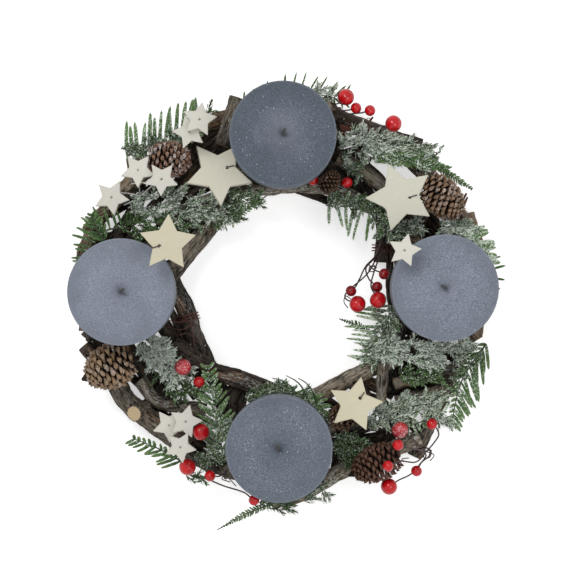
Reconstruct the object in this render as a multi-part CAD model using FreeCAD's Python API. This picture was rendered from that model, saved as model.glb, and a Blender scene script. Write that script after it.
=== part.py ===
import FreeCAD, Part
import math
import os

# Candle ring: bark branches in two layers, four pillar candles on spiked pans, and a dressing of
# fir fronds, cones, plain wooden stars and wired berries. Millimetres, +Z up. The origin is the
# middle of the footprint, on the table. Places are pixels of the view from straight above.

Vector = FreeCAD.Vector
up = Vector(0, 0, 1)
overrun = 1.0
flat_enough = 1e-8
upright_share = 0.07

# Driving dimensions of the ring and of the view that the pixels belong to
ring_diameter = 306.0
ring_pixels = 424
view_height = 3000.0
view_pixel = (286.5, 286.5)
middle_pixel = (284.2, 303.0)
table_scale = ring_diameter / ring_pixels

# Branches: each layer has one thickness, so every branch seats on the layer under it
branch_thickness = 14.5
twig_thickness = 8.0
bound_branch_thickness = 11.6
seat_gap = 0.25
branch_corners = 10
bark_shares = (1.0, 0.94, 1.0, 1.0, 0.9, 1.0, 0.93, 1.0, 1.0, 0.95)
swell_shares = (1.0, 0.95, 1.05, 0.96, 1.02)

# Candles and their pans
candle_diameter = 75.0
candle_height = 60.0
candle_edge = 1.6
candle_dome = 2.4
candle_dip_diameter = 12.0
candle_dip = 1.0
wick_diameter = 2.2
wick_clearance = 0.1
wick_length = 18.0
wick_showing = 8.0
wick_lean = 2.4
wick_sides = 8
wick_lean_shares = {"north": (0.3, 0.8), "west": (0.6, 0.5), "east": (-0.7, 0.4), "south": (-0.4, 0.7)}
pan_diameter = 44.0
pan_sheet = 1.0
pan_rise = 10.0
pan_collar_diameter = 14.0
pan_pin_diameter = 3.0
pan_pin_length = 9.0
pan_spike_diameter = 4.0
pan_spike_tip_diameter = 0.8
pan_spike_length = 12.0
spike_clearance = 0.1
rest_gap = 0.2

# Stars, cones, berries, fronds and wires
star_thickness = 3.0
star_notch_share = 0.52
star_hole_diameter = 2.4
star_wire_diameter = 1.0
wire_sides = 6
star_rise = 30.0
star_over_candle = 17.0
star_wire_proud = 1.4
cone_length = 38.0
cone_diameter = 29.0
core_shares = ((0.0, 0.3), (0.18, 0.56), (0.45, 0.6), (0.75, 0.42), (1.0, 0.12))
core_sides = 7
scale_thickness = 1.4
scale_width = 7.5
scale_lean = 30.0
scale_tip_lean = 10.0
scale_root_share = 0.35
scale_shoulder_share = 0.8
scale_span_share = 0.86
slim_share = 0.22
large_berry_diameter = 12.0
small_berry_diameter = 8.0
berry_rise = 10.0
stem_diameter = 1.2
stem_clearance = 0.15
stem_inset_share = 0.25
berry_rings = 5
berry_sides = 10
frond_thickness = 1.0
frond_gap = 0.3
frond_stem_width = 2.0
needle_width = 2.2
needle_pitch = 5.6
needle_sweep = 28.0
decor_clearance = 0.6

# Binding wire
binding_diameter = 1.0
binding_pitch = 2.2
binding_clearance = 0.3
winding_samples = 144

# Heights that follow from the sizes above
deck = (0, branch_thickness, 2 * branch_thickness + seat_gap)
top_deck = deck[2]
pan_top = top_deck + seat_gap + pan_rise
candle_foot = pan_top + rest_gap
candle_top = candle_foot + candle_height
candle_reach = candle_diameter / 2

# Centre lines and widths of the branches, in pixels
lower_branches = {
    "outer_north_west": [(128, 167, 17), (158, 160, 18), (205, 126, 19), (262, 112, 17)],
    "outer_north_east": [(296, 106, 17), (340, 119, 18), (380, 134, 18), (420, 148, 19)],
    "outer_east": [(466, 214, 17), (478, 262, 18), (474, 334, 18)],
    "outer_south_east": [(462, 352, 15), (434, 414, 15), (414, 456, 15)],
    "outer_south_west": [(154, 414, 18), (196, 456, 17), (246, 476, 15)],
    "outer_west": [(100, 214, 15), (84, 262, 17), (88, 330, 18)],
    "inner_east": [(404, 197, 16), (400, 232, 17), (404, 290, 18), (394, 350, 18), (391, 392, 17)],
    "inner_south": [(262, 412, 16), (304, 406, 16), (336, 429, 16), (374, 424, 14)],
    "inner_north_west": [(156, 223, 15), (222, 196, 14), (270, 189, 12), (310, 187, 11)],
}
bound_branches = {
    "inner_west": [(164, 262, 20), (174, 287, 19), (185, 308, 19), (192, 330, 19), (210, 374, 22)],
    "inner_north_east": [(350, 148, 15), (360, 182, 15), (382, 222, 14), (381, 262, 14)],
}
upper_branches = {
    "rail_north_west": [(233, 196, 20), (210, 226, 20), (192, 248, 19), (168, 279, 19)],
    "rail_south_west": [(174, 344, 17), (212, 370, 18), (240, 379, 18), (270, 391, 18), (308, 407, 18)],
    "rail_south_east": [(324, 394, 17), (356, 377, 16), (398, 358, 15)],
    "rail_north_east": [(338, 158, 15), (366, 174, 15), (396, 200, 15), (428, 216, 15)],
    "chord_north_east": [(396, 138, 16), (411, 159, 17), (434, 183, 18), (466, 226, 18)],
    "chord_north_west": [(88, 232, 15), (103, 214, 16), (128, 186, 17), (150, 168, 17), (178, 150, 16)],
    "chord_south_west": [(104, 358, 19), (124, 397, 20), (148, 419, 21), (187, 447, 21)],
    "chord_south_east": [(272, 502, 15), (304, 493, 16), (344, 470, 17), (420, 438, 17)],
}
seat_branches = {
    "north": [(333, 101, 17), (283, 134, 17), (216, 187, 15)],
    "west": [(88, 339, 17), (120.5, 292, 17), (168, 220, 15)],
    "east": [(476, 340, 17), (445.5, 288, 17), (402, 225, 16)],
    "south": [(222, 472, 16), (279, 449.5, 17), (334, 428, 17)],
}
short_branches = [
    [(238, 98, 17), (222, 145, 15)],
    [(300, 184, 14), (332, 186, 15), (375, 209, 15)],
    [(140, 380, 14), (160, 402, 14), (206, 410, 14)],
    [(396, 402, 13), (454, 386, 13)],
    [(394, 384, 13), (426, 375, 12), (463, 364, 11)],
]
top_twigs = [
    [(383, 364, 11), (381, 402, 11)],
]
filling_branches = [
    [(182, 192, 14), (200, 165, 15), (226, 145, 15), (262, 136, 14)],
    [(290, 136, 14), (320, 155, 14), (340, 176, 13), (342, 184, 13)],
    [(112, 243, 14), (128, 222, 15), (138, 202, 14), (140, 184, 13)],
    [(140, 300, 16), (162, 324, 16), (175, 347, 16), (186, 378, 15)],
    [(84, 346, 14), (98, 362, 15), (118, 384, 15)],
    [(122, 340, 15), (138, 362, 15), (152, 386, 14)],
    [(243, 377, 15), (230, 402, 16), (240, 430, 15)],
    [(172, 410, 13), (198, 428, 14), (220, 444, 13)],
    [(424, 208, 14), (436, 228, 15), (446, 254, 14)],
    [(421, 316, 15), (424, 344, 15), (430, 375, 14)],
    [(350, 378, 14), (362, 392, 15), (370, 406, 14)],
    [(410, 396, 13), (400, 412, 14), (392, 430, 14), (384, 447, 13)],
    [(336, 448, 14), (352, 449, 14), (370, 457, 13)],
    [(174, 243, 13), (189, 232, 13), (204, 227, 13)],
]
pruned_stub = [(144, 408, 15), (130, 417, 14)]

candle_pixels = {"north": (283, 134), "west": (120.5, 292), "east": (445.5, 288), "south": (279, 449.5)}

# Large stars: middle, tip radius, turn of the first tip, wire hole, foot of the wire, the layer
# under that foot, rise as a share of star_rise, tilt and the way that the low side faces
large_stars = {
    "north_west": ((218.5, 173), 35, 56.5, (227, 167.5), (241, 165), 2, 0.42, 22, 56.5),
    "west": ((167.5, 243), 29.5, 15.7, (159.5, 246), (154, 241), 2, None, 0, 0),
    "north_east": ((400.5, 196.8), 35.4, 38.2, (410, 197), (407, 206), 2, 0.7, 6, 200),
    "south_east": ((355.2, 404.4), 28.3, 5.4, (360, 398), (360, 378), 2, 0.86, 4, 300),
}
# Small stars: middle, tip radius, turn, foot of the wire, its layer, rise share, tilt, low side
small_star_pixels = [
    ((404.5, 250.3), 17.5, 5, (409, 240), 2, None, 0, 0),
    ((199.5, 119.5), 18, 9, (204, 125), 1, 1.2, 8, 60),
    ((189.5, 132), 17.5, 33, (187, 134), 1, 1.03, 6, 240),
    ((138.2, 170.5), 18, 54, (137, 176), 2, 0.94, 10, 120),
    ((161.5, 179), 17.5, 52, (131, 184), 2, 1.15, 6, 300),
    ((111.8, 197.6), 18.5, 63.4, (113, 203), 2, 0.66, 10, 150),
    ((169.5, 425.5), 17.5, 55, (163, 430), 2, 0.55, 5, 180),
    ((185.5, 421.5), 17.5, 3.5, (172, 436), 2, 0.72, 5, 0),
    ((180.5, 447), 16.5, 62, (177, 440), 2, 0.9, 8, 250),
]

# Cones: middle, heading of the tip, length share, width share, number of scales
cone_places = {
    "cone_north_west": ((170, 159), 4, 0.86, 0.95, 34),
    "cone_west": ((110, 367), 205, 1.0, 1.2, 34),
    "cone_north_east": ((444, 199), 315, 1.0, 0.98, 34),
    "cone_south_east": ((372, 464), 204, 1.0, 0.93, 34),
    "small_north": ((330, 181), 45, 0.5, 0.54, 21),
    "small_south": ((341, 417), 150, 0.54, 0.68, 21),
}

# Berries of each spray: middle, size, rise share of berry_rise, then the wire from its foot to it
berry_sprays = {
    "north": [
        ((346, 96), "large", 0.3, [(331, 103, 2, 0.0), (336, 102, 2, 0.4)]),
        ((356, 108), "small", 0.2, [(331, 103, 2, 0.0), (344, 107, 2, 0.3)]),
        ((370, 110.5), "small", 0.3, [(331, 103, 2, 0.0), (344, 113, 2, 0.3), (360, 117, 2, 0.3)]),
        ((393.5, 123.5), "large", 0.3, [(331, 103, 2, 0.0), (344, 113, 2, 0.3), (360, 117, 2, 0.3)]),
        ((313, 180), "small", 0.0, [(308, 187, 2, 0.0)]),
        ((347, 182.5), "small", 0.1, [(349, 196, 2, 0.0)]),
    ],
    "east": [
        ((384, 274), "small", 0.2, [(383, 238, 1, 0.0), (377, 256, 1, 0.9), (374, 267, 2, 0.4)]),
        ((377, 287), "small", 0.1, [(383, 238, 1, 0.0), (377, 256, 1, 0.9), (370, 270, 2, 0.3)]),
        ((378, 300), "large", 0.5, [(383, 238, 1, 0.0), (377, 256, 1, 0.9), (369, 284, 2, 0.6)]),
        ((351, 291), "small", 0.0, [(383, 238, 1, 0.0), (377, 256, 1, 0.9), (362, 275, 2, 0.2)]),
        ((357.5, 304), "large", 0.2, [(383, 238, 1, 0.0), (377, 256, 1, 0.9), (361, 288, 2, 0.4)]),
    ],
    "south_east": [
        ((400, 430), "large", 0.6, [(418, 447, 1, 0.0), (425, 452, 1, 1.0), (412, 441, 2, 0.9)]),
        ((398, 445), "small", 3.0, [(418, 447, 1, 0.0), (425, 452, 1, 1.0), (414, 447, 2, 2.4)]),
        ((432, 424), "small", 0.6, [(418, 447, 1, 0.0), (425, 452, 1, 1.0), (433, 440, 2, 0.7)]),
        ((388, 466), "small", 3.2, [(418, 447, 1, 0.0), (425, 452, 1, 1.0), (409, 458, 2, 3.0)]),
        ((416.5, 471), "small", 0.4, [(418, 447, 1, 0.0), (425, 452, 1, 1.0), (424, 463, 2, 0.6)]),
        ((390, 489), "large", 0.2, [(418, 447, 1, 0.0), (425, 452, 1, 1.0), (408, 484, 2, 0.6)]),
    ],
    "south_west": [
        ((183, 367), "large", 0.2, [(193, 356, 2, 0.0)]),
        ((199, 382), "small", 0.2, [(207, 367, 2, 0.0)]),
        ((201, 432), "large", 0.9, [(179, 437, 2, 0.0), (190, 434, 2, 0.9)]),
        ((187.5, 467), "large", 0.3, [(199, 458, 1, 0.0)]),
        ((210, 476), "small", 0.3, [(227, 470, 2, 0.0), (218, 475, 2, 0.4)]),
        ((254, 500), "small", 0.0, [(227, 470, 2, 0.0), (231, 482, 2, 0.3), (243, 490, 2, 0.3)]),
    ],
}

# Fronds: start, middle and end of the stem, needle reach on its left and right, all in pixels
fronds = {
    "fir_north_west": [
        ((192, 143), (160, 151), (130, 157), 8, 38),
    ],
    "fir_west": [
        ((122, 222), (96, 236), (86, 254), 10, 12),
        ((144, 214), (185, 206), (226, 190), 22, 22),
        ((222, 222), (245, 208), (268, 195), 6, 6),
    ],
    "fir_north_east": [
        ((336, 98), (302, 85), (268, 90), 6, 8),
        ((341, 150), (380, 150), (424, 158), 20, 18),
        ((400, 153), (430, 158), (456, 167), 10, 10),
        ((436, 168), (456, 178), (472, 190), 6, 6),
        ((318, 194), (350, 202), (385, 212), 6, 34),
        ((416, 230), (402, 231), (386, 234), 10, 10),
    ],
    "fir_east": [
        ((456, 216), (479, 245), (488, 286), 20, 14),
        ((396, 306), (388, 335), (372, 366), 8, 30),
        ((372, 334), (356, 324), (340, 319), 4, 4),
        ((393, 353), (430, 352), (472, 348), 15, 14),
    ],
    "fir_south_east": [
        ((478, 344), (466, 386), (450, 425), 30, 12),
        ((374, 416), (410, 412), (450, 401), 14, 14),
        ((338, 434), (352, 446), (368, 456), 10, 12),
    ],
    "fir_south": [
        ((246, 396), (290, 401), (338, 416), 24, 8),
        ((263, 456), (262, 503), (218, 528), 5, 7),
        ((327, 481), (300, 498), (266, 509), 8, 8),
    ],
    "fir_south_west": [
        ((210, 369), (214, 412), (226, 462), 32, 32),
        ((183, 450), (154, 455), (132, 465), 16, 18),
        ((146, 338), (170, 366), (202, 391), 14, 12),
    ],
}

parts_made = {}
obstacles = []


def spot(pixel, height):
    """Place of a pixel seen from view_height straight above, at the given height."""
    scale = table_scale * (view_height - height) / view_height
    shift_x = (middle_pixel[0] - view_pixel[0]) * table_scale
    shift_y = (middle_pixel[1] - view_pixel[1]) * table_scale
    x = (pixel[0] - view_pixel[0]) * scale - shift_x
    y = (view_pixel[1] - pixel[1]) * scale + shift_y
    return Vector(x, y, height)


def keep(name, shapes):
    """Write the solids of one named piece or group of pieces."""
    solids = []
    for shape in shapes:
        solids.extend(shape.Solids)
    shape = Part.makeCompound(solids) if len(solids) > 1 else solids[0]
    shape.exportStep("parts/" + name + ".step")
    parts_made[name] = shape


def directions(points):
    """Unit direction at each point of a path, turned half way at its bends."""
    runs = []
    for start, end in zip(points, points[1:]):
        run = end - start
        run.normalize()
        runs.append(run)
    result = [runs[0]]
    for before, after in zip(runs, runs[1:]):
        middle = before + after
        middle.normalize()
        result.append(middle)
    result.append(runs[-1])
    return result


def skin(rings):
    """Solid between rings of corners: flat faces from ring to ring, and a flat cap on each end."""
    faces = []
    for lower, upper in zip(rings, rings[1:]):
        for index in range(len(lower)):
            after = (index + 1) % len(lower)
            corners = [lower[index], lower[after], upper[after], upper[index]]
            normal = (corners[1] - corners[0]).cross(corners[3] - corners[0])
            normal.normalize()
            if abs(normal.dot(corners[2] - corners[0])) < flat_enough:
                faces.append(Part.Face(Part.makePolygon(corners + corners[:1])))
            else:
                for turn in (corners[:3], corners[2:] + corners[:1]):
                    faces.append(Part.Face(Part.makePolygon(turn + turn[:1])))
    for ring in (rings[0], rings[-1]):
        faces.append(Part.Face(Part.makePolygon(ring + ring[:1])))
    body = Part.Solid(Part.makeShell(faces))
    if body.Volume < 0:
        body.reverse()
    return body


def rod(points, radius, sides):
    """Prism of regular section along a path, mitred at its bends."""
    headings = directions(points)
    side = headings[0].cross(up)
    if side.Length < upright_share:
        side = headings[0].cross(Vector(1, 0, 0))
    side.normalize()
    sections = []
    for point, heading in zip(points, headings):
        side = side - heading * side.dot(heading)
        side.normalize()
        other = heading.cross(side)
        corners = []
        for index in range(sides):
            angle = 2 * math.pi * index / sides
            corners.append(point + side * radius * math.cos(angle) + other * radius * math.sin(angle))
        sections.append(corners)
    return skin(sections)


def branch(route, base, thickness):
    """Bark branch lying flat: ridged sections with level faces on top and underneath."""
    middle = base + thickness / 2
    points = [spot(place[:2], middle) for place in route]
    sections = []
    for index, (point, heading) in enumerate(zip(points, directions(points))):
        across = heading.cross(up)
        half_width = route[index][2] * table_scale / 2 * swell_shares[index % len(swell_shares)]
        corners = []
        for corner in range(branch_corners):
            angle = 2 * math.pi * corner / branch_corners
            lift = math.sin(angle) / math.sin(4 * math.pi / branch_corners)
            share = bark_shares[corner]
            corners.append(point + across * half_width * share * math.cos(angle) + up * thickness / 2 * lift)
        sections.append(corners)
    return skin(sections)


def cylinder(place, radius, bottom, top):
    foot = Vector(place.x, place.y, bottom)
    return Part.makeCylinder(radius, top - bottom, foot, up)


def revolved(place, outline):
    """Turned piece from its outline of radius and height, about the upright line at the place."""
    corners = [Vector(place.x + radius, place.y, height) for radius, height in outline]
    corners.append(corners[0])
    face = Part.Face(Part.makePolygon(corners))
    return face.revolve(Vector(place.x, place.y, 0), up, 360)


def candle_place(name):
    return spot(candle_pixels[name], candle_top)


def clear_of_candles(place, reach):
    """Move a place outwards until a piece of this reach stands clear of every candle."""
    moved = Vector(place)
    for name in candle_pixels:
        centre = candle_place(name)
        away = Vector(moved.x - centre.x, moved.y - centre.y, 0)
        least = candle_reach + reach + decor_clearance
        if away.Length < least:
            away.normalize()
            moved = Vector(centre.x + away.x * least, centre.y + away.y * least, moved.z)
    return moved


def make_candle(name):
    """Pillar candle with a soft edge, low dome, wick hole and blind hole for the spike."""
    place = candle_place(name)
    reach = candle_reach
    outline = [
        (0, candle_foot),
        (reach, candle_foot),
        (reach, candle_top - candle_dome - candle_edge),
        (reach - candle_edge, candle_top - candle_dome),
        (candle_dip_diameter / 2, candle_top),
        (0, candle_top - candle_dip),
    ]
    body = revolved(place, outline)
    hole = pan_spike_diameter / 2 + spike_clearance
    spike_end = candle_foot + pan_spike_length + spike_clearance
    body = body.cut(cylinder(place, hole, candle_foot - overrun, spike_end))
    wick_hole = wick_diameter / 2 + wick_clearance
    wick_foot = candle_top + wick_showing - wick_length
    body = body.cut(cylinder(place, wick_hole, wick_foot - wick_clearance, candle_top + overrun))
    keep("candle_" + name, [body])
    lean_x, lean_y = wick_lean_shares[name]
    straight = Vector(place.x, place.y, candle_top)
    tip = straight + Vector(wick_lean * lean_x, wick_lean * lean_y, wick_showing)
    foot = Vector(place.x, place.y, wick_foot)
    keep("wick_" + name, [rod([foot, straight, tip], wick_diameter / 2, wick_sides)])


def make_pan(name):
    """Pressed candle pan: pin into the branch, collar, plate, and spike up into the candle."""
    place = candle_place(name)
    underside = top_deck + seat_gap
    outline = [
        (0, underside - pan_pin_length),
        (pan_pin_diameter / 2, underside - pan_pin_length),
        (pan_pin_diameter / 2, underside),
        (pan_collar_diameter / 2, underside),
        (pan_collar_diameter / 2, pan_top - pan_sheet),
        (pan_diameter / 2, pan_top - pan_sheet),
        (pan_diameter / 2, pan_top),
        (pan_spike_diameter / 2, pan_top),
        (pan_spike_tip_diameter / 2, pan_top + pan_spike_length),
        (0, pan_top + pan_spike_length),
    ]
    keep("pan_" + name, [revolved(place, outline)])
    obstacles.append((place, place, pan_collar_diameter / 2))


def make_seat_branch(name):
    """Branch under a candle, drilled for the pin of its pan."""
    body = branch(seat_branches[name], top_deck - branch_thickness, branch_thickness)
    hole = pan_pin_diameter / 2 + seat_gap
    bottom = top_deck - pan_pin_length
    body = body.cut(cylinder(candle_place(name), hole, bottom, top_deck + overrun))
    keep("seat_branch_" + name, [body])


def make_branches():
    for name, route in lower_branches.items():
        keep("branch_" + name, [branch(route, 0, branch_thickness)])
    for name, route in bound_branches.items():
        base = branch_thickness - bound_branch_thickness
        keep("branch_" + name, [branch(route, base, bound_branch_thickness)])
    base = top_deck - branch_thickness
    for name, route in upper_branches.items():
        body = branch(route, base, branch_thickness)
        if name == "chord_south_west":
            body = body.fuse(branch(pruned_stub, base + seat_gap, branch_thickness - 2 * seat_gap))
        keep("branch_" + name, [body])
    pieces = [branch(route, base, branch_thickness) for route in short_branches]
    pieces += [branch(route, 0, branch_thickness) for route in filling_branches]
    for route in top_twigs:
        pieces.append(branch(route, top_deck + seat_gap, twig_thickness))
        ends = [spot(place[:2], top_deck) for place in route]
        for start, end in zip(ends, ends[1:]):
            obstacles.append((start, end, route[0][2] * table_scale / 2))
    keep("short_branches", pieces)


def star_frame(pixel, height, tilt, low_side):
    """Middle of a star, and the turn that tilts its face towards the low side."""
    facing = math.radians(low_side)
    hinge = Vector(-math.sin(facing), math.cos(facing), 0)
    return spot(pixel, height), FreeCAD.Rotation(hinge, tilt)


def make_star(pixel, radius_pixels, turn, hole_pixel, height, tilt, low_side):
    """Five-pointed star cut from board, with a wire hole, and the wire path through that hole."""
    centre, lean = star_frame(pixel, height, tilt, low_side)
    scale = table_scale * (view_height - height) / view_height
    tip_radius = radius_pixels * scale
    corners = []
    for index in range(10):
        radius = tip_radius if index % 2 == 0 else tip_radius * star_notch_share
        angle = math.radians(turn + 36 * index)
        corners.append(Vector(radius * math.cos(angle), radius * math.sin(angle), -star_thickness / 2))
    corners.append(corners[0])
    body = Part.Face(Part.makePolygon(corners)).extrude(up * star_thickness)
    hole = spot(hole_pixel, height) - centre
    body = body.cut(cylinder(hole, star_hole_diameter / 2, -star_thickness, star_thickness))
    body.Placement = FreeCAD.Placement(centre, lean)
    over = lean.multVec(up)
    hole_place = centre + lean.multVec(hole)
    under = hole_place - over * star_thickness
    proud = hole_place + over * (star_thickness / 2 + star_wire_proud)
    return body, under, proud, lean


def rise_height(share):
    if share is None:
        return candle_top + star_over_candle + star_thickness / 2
    return top_deck + star_rise * share


def make_stars():
    wires = []
    radius = star_wire_diameter / 2
    for name, row in large_stars.items():
        pixel, radius_pixels, turn, hole_pixel, foot, layer, share, tilt, low_side = row
        height = rise_height(share)
        body, under, proud, lean = make_star(pixel, radius_pixels, turn, hole_pixel, height, tilt, low_side)
        keep("star_" + name, [body])
        start = spot(foot, deck[layer] + seat_gap + radius)
        lie = lean.multVec(Vector(star_hole_diameter, star_thickness / 2, 0)) * 2
        wires.append(rod([start, under, proud, proud + lie], radius, wire_sides))
        obstacles.append((start, start, star_wire_diameter))
    small = []
    for pixel, radius_pixels, turn, foot, layer, share, tilt, low_side in small_star_pixels:
        height = rise_height(share)
        body, under, proud, lean = make_star(pixel, radius_pixels, turn, pixel, height, tilt, low_side)
        small.append(body)
        start = spot(foot, deck[layer] + seat_gap + radius)
        wires.append(rod([start, under, proud], radius, wire_sides))
        obstacles.append((start, start, star_wire_diameter))
    keep("small_stars", small)
    keep("star_wires", wires)


def cone_core(length, diameter):
    """Spindle that carries the scales of a cone."""
    sections = []
    for along, wide in core_shares:
        reach = diameter / 2 * wide
        corners = []
        for index in range(core_sides):
            angle = 2 * math.pi * index / core_sides
            corners.append(Vector(length * (along - 0.5), reach * math.cos(angle), reach * math.sin(angle)))
        sections.append(corners)
    return skin(sections)


def cone_form(length, diameter, count):
    """Cone on its side along +X: a core with scales set round it by the golden angle."""
    golden_turn = 180 * (3 - math.sqrt(5))
    scales = []
    for index in range(count):
        along = (index + 0.5) / count
        # The outline of the scales swells to its widest near a third of the length
        swell = math.sin(math.pi * (0.17 + 0.8 * along)) ** 0.8
        outer = diameter / 2 * (slim_share + (1 - slim_share) * swell)
        inner = outer * scale_root_share
        shoulder = outer * scale_shoulder_share
        half = scale_width / 2 * (0.55 + 0.45 * swell) * diameter / cone_diameter
        corners = [
            Vector(0, -half / 2, inner),
            Vector(0, -half, shoulder),
            Vector(0, 0, outer),
            Vector(0, half, shoulder),
            Vector(0, half / 2, inner),
        ]
        corners.append(corners[0])
        scale = Part.Face(Part.makePolygon(corners)).extrude(Vector(scale_thickness, 0, 0))
        scale.rotate(Vector(0, 0, 0), Vector(0, 1, 0), scale_lean + (scale_tip_lean - scale_lean) * along)
        scale.rotate(Vector(0, 0, 0), Vector(1, 0, 0), golden_turn * index)
        scale.translate(Vector(length * (scale_span_share * along - 0.5), 0, 0))
        scales.append(scale)
    return cone_core(length, diameter).multiFuse(scales)


def make_cones():
    small_cones = []
    for name, (pixel, heading, long_share, wide_share, count) in cone_places.items():
        length = cone_length * long_share
        diameter = cone_diameter * wide_share
        place = clear_of_candles(spot(pixel, top_deck + diameter / 2), diameter / 2)
        body = cone_form(length, diameter, count)
        body.rotate(Vector(0, 0, 0), up, heading)
        low = body.BoundBox.ZMin
        body.translate(Vector(place.x, place.y, top_deck + seat_gap - low))
        if name.startswith("small"):
            small_cones.append(body)
        else:
            keep(name, [body])
        turn = math.radians(heading)
        run = Vector(math.cos(turn), math.sin(turn), 0) * max(0, length - diameter) / 2
        obstacles.append((place - run, place + run, diameter / 2))
    keep("small_cones", small_cones)


def berry_form(diameter):
    """Faceted ball, drawn through rings from pole to pole."""
    sections = []
    for index in range(berry_rings):
        tilt = math.pi * (index + 0.5) / berry_rings - math.pi / 2
        reach = diameter / 2 * math.cos(tilt)
        level = diameter / 2 * math.sin(tilt)
        corners = []
        for corner in range(berry_sides):
            angle = 2 * math.pi * corner / berry_sides
            corners.append(Vector(reach * math.cos(angle), reach * math.sin(angle), level))
        sections.append(corners)
    return skin(sections)


def make_berries():
    stems = []
    for spray, berries in berry_sprays.items():
        bodies = []
        wires = []
        for pixel, size, share, route in berries:
            diameter = large_berry_diameter if size == "large" else small_berry_diameter
            height = top_deck + seat_gap + diameter / 2 + berry_rise * share
            middle = spot(pixel, height)
            path = []
            for x, y, layer, rise in route:
                path.append(spot((x, y), deck[layer] + seat_gap + stem_diameter / 2 + berry_rise * rise))
            inwards = middle - path[-1]
            inwards.normalize()
            path.append(middle - inwards * diameter * stem_inset_share)
            wires.append(rod(path, stem_diameter / 2, wire_sides))
            body = berry_form(diameter)
            body.translate(middle)
            bodies.append(body.cut(rod(path, stem_diameter / 2 + stem_clearance, wire_sides)))
            obstacles.append((middle, middle, diameter / 2))
            for start, end in zip(path, path[1:]):
                if min(start.z, end.z) < top_deck + berry_rise:
                    obstacles.append((start, end, stem_diameter / 2))
        stems.append(wires[0].multiFuse(wires[1:]))
        keep("berries_" + spray, bodies)
    keep("berry_stems", stems)


def distance_to_run(point, start, end):
    """Distance in plan from a point to a straight run."""
    run = Vector(end.x - start.x, end.y - start.y, 0)
    gap = Vector(point.x - start.x, point.y - start.y, 0)
    along = 0 if run.Length == 0 else max(0, min(1, gap.dot(run) / run.dot(run)))
    return (gap - run * along).Length


def clear_length(base, heading, length):
    """Longest part of a needle that stays clear of what stands on the deck."""
    steps = 12
    for step in range(steps + 1):
        point = base + heading * length * step / steps
        for start, end, reach in obstacles:
            if distance_to_run(point, start, end) < reach + decor_clearance + needle_width / 4:
                return length * max(0, step - 1) / steps
    return length


def frond(row, level):
    """Flat fir frond: one outline of stem and two rows of needles along a gentle curve."""
    start, middle, end, left_pixels, right_pixels = row
    height = top_deck + frond_gap + level * (frond_thickness + frond_gap)
    first, halfway, last = [spot(pixel, height) for pixel in (start, middle, end)]
    pull = halfway * 2 - (first + last) / 2
    count = max(3, round((last - first).Length / needle_pitch))
    sides = {1: [], -1: []}
    for index in range(count):
        t = (index + 0.5) / count
        point = first * (1 - t) ** 2 + pull * 2 * t * (1 - t) + last * t ** 2
        heading = (pull - first) * (1 - t) + (last - pull) * t
        heading.normalize()
        for side, reach_pixels in ((1, left_pixels), (-1, right_pixels)):
            outwards = up.cross(heading) * side
            sweep = math.radians(needle_sweep)
            slant = outwards * math.cos(sweep) + heading * math.sin(sweep)
            edge = point + outwards * frond_stem_width / 2 * (1 - t / 2)
            # Needles are longest before the middle, short at the tip, and every third one is cut back
            shape_share = (0.62 + 0.38 * math.sin(math.pi * min(1, t * 1.4))) * (1 - 0.55 * t ** 3)
            ragged_share = 1 - 0.12 * ((index * 7 + 3 * side) % 3)
            length = clear_length(edge, slant, reach_pixels * table_scale * shape_share * ragged_share)
            if length > needle_width:
                half = heading * needle_width / 2
                sides[side].append([edge - half, edge + slant * length, edge + half])
            else:
                sides[side].append([edge])
    corners = [first]
    for teeth in sides[-1]:
        corners.extend(teeth)
    corners.append(last)
    for teeth in reversed(sides[1]):
        corners.extend(reversed(teeth))
    corners.append(first)
    return Part.Face(Part.makePolygon(corners)).extrude(up * frond_thickness)


def make_fronds():
    """Each frond takes the lowest level on which its needles meet no frond laid before it."""
    laid = []
    for name, rows in fronds.items():
        pieces = []
        for row in rows:
            body = None
            level = 0
            while body is None:
                trial = frond(row, level)
                beside = [other for layer, other in laid if layer == level]
                if any(other.distToShape(trial)[0] < frond_gap for other in beside):
                    level += 1
                else:
                    body = trial
            laid.append((level, body))
            pieces.append(body)
        keep(name, pieces)


def arc_through(start, tangent, end):
    """Arc that leaves start along the tangent and ends at end."""
    chord = end - start
    half = chord.Length / 2
    along = Vector(chord)
    along.normalize()
    bow = tangent - along * tangent.dot(along)
    bow.normalize()
    angle = math.acos(max(-1, min(1, tangent.dot(along))))
    middle = start + along * half + bow * half * math.tan(angle / 2)
    return Part.Arc(start, middle, end).toShape()


def biarc(start, tangent, end, end_tangent):
    """Two arcs that join both ends smoothly."""
    gap = end - start
    both = tangent + end_tangent
    spread = 2 * (1 - tangent.dot(end_tangent))
    pull = (-gap.dot(both) + math.sqrt(gap.dot(both) ** 2 + spread * gap.dot(gap))) / spread
    joint = (start + end + (tangent - end_tangent) * pull) / 2
    first = arc_through(start, tangent, joint)
    second = arc_through(end, end_tangent * -1, joint)
    return [first, second]


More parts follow.
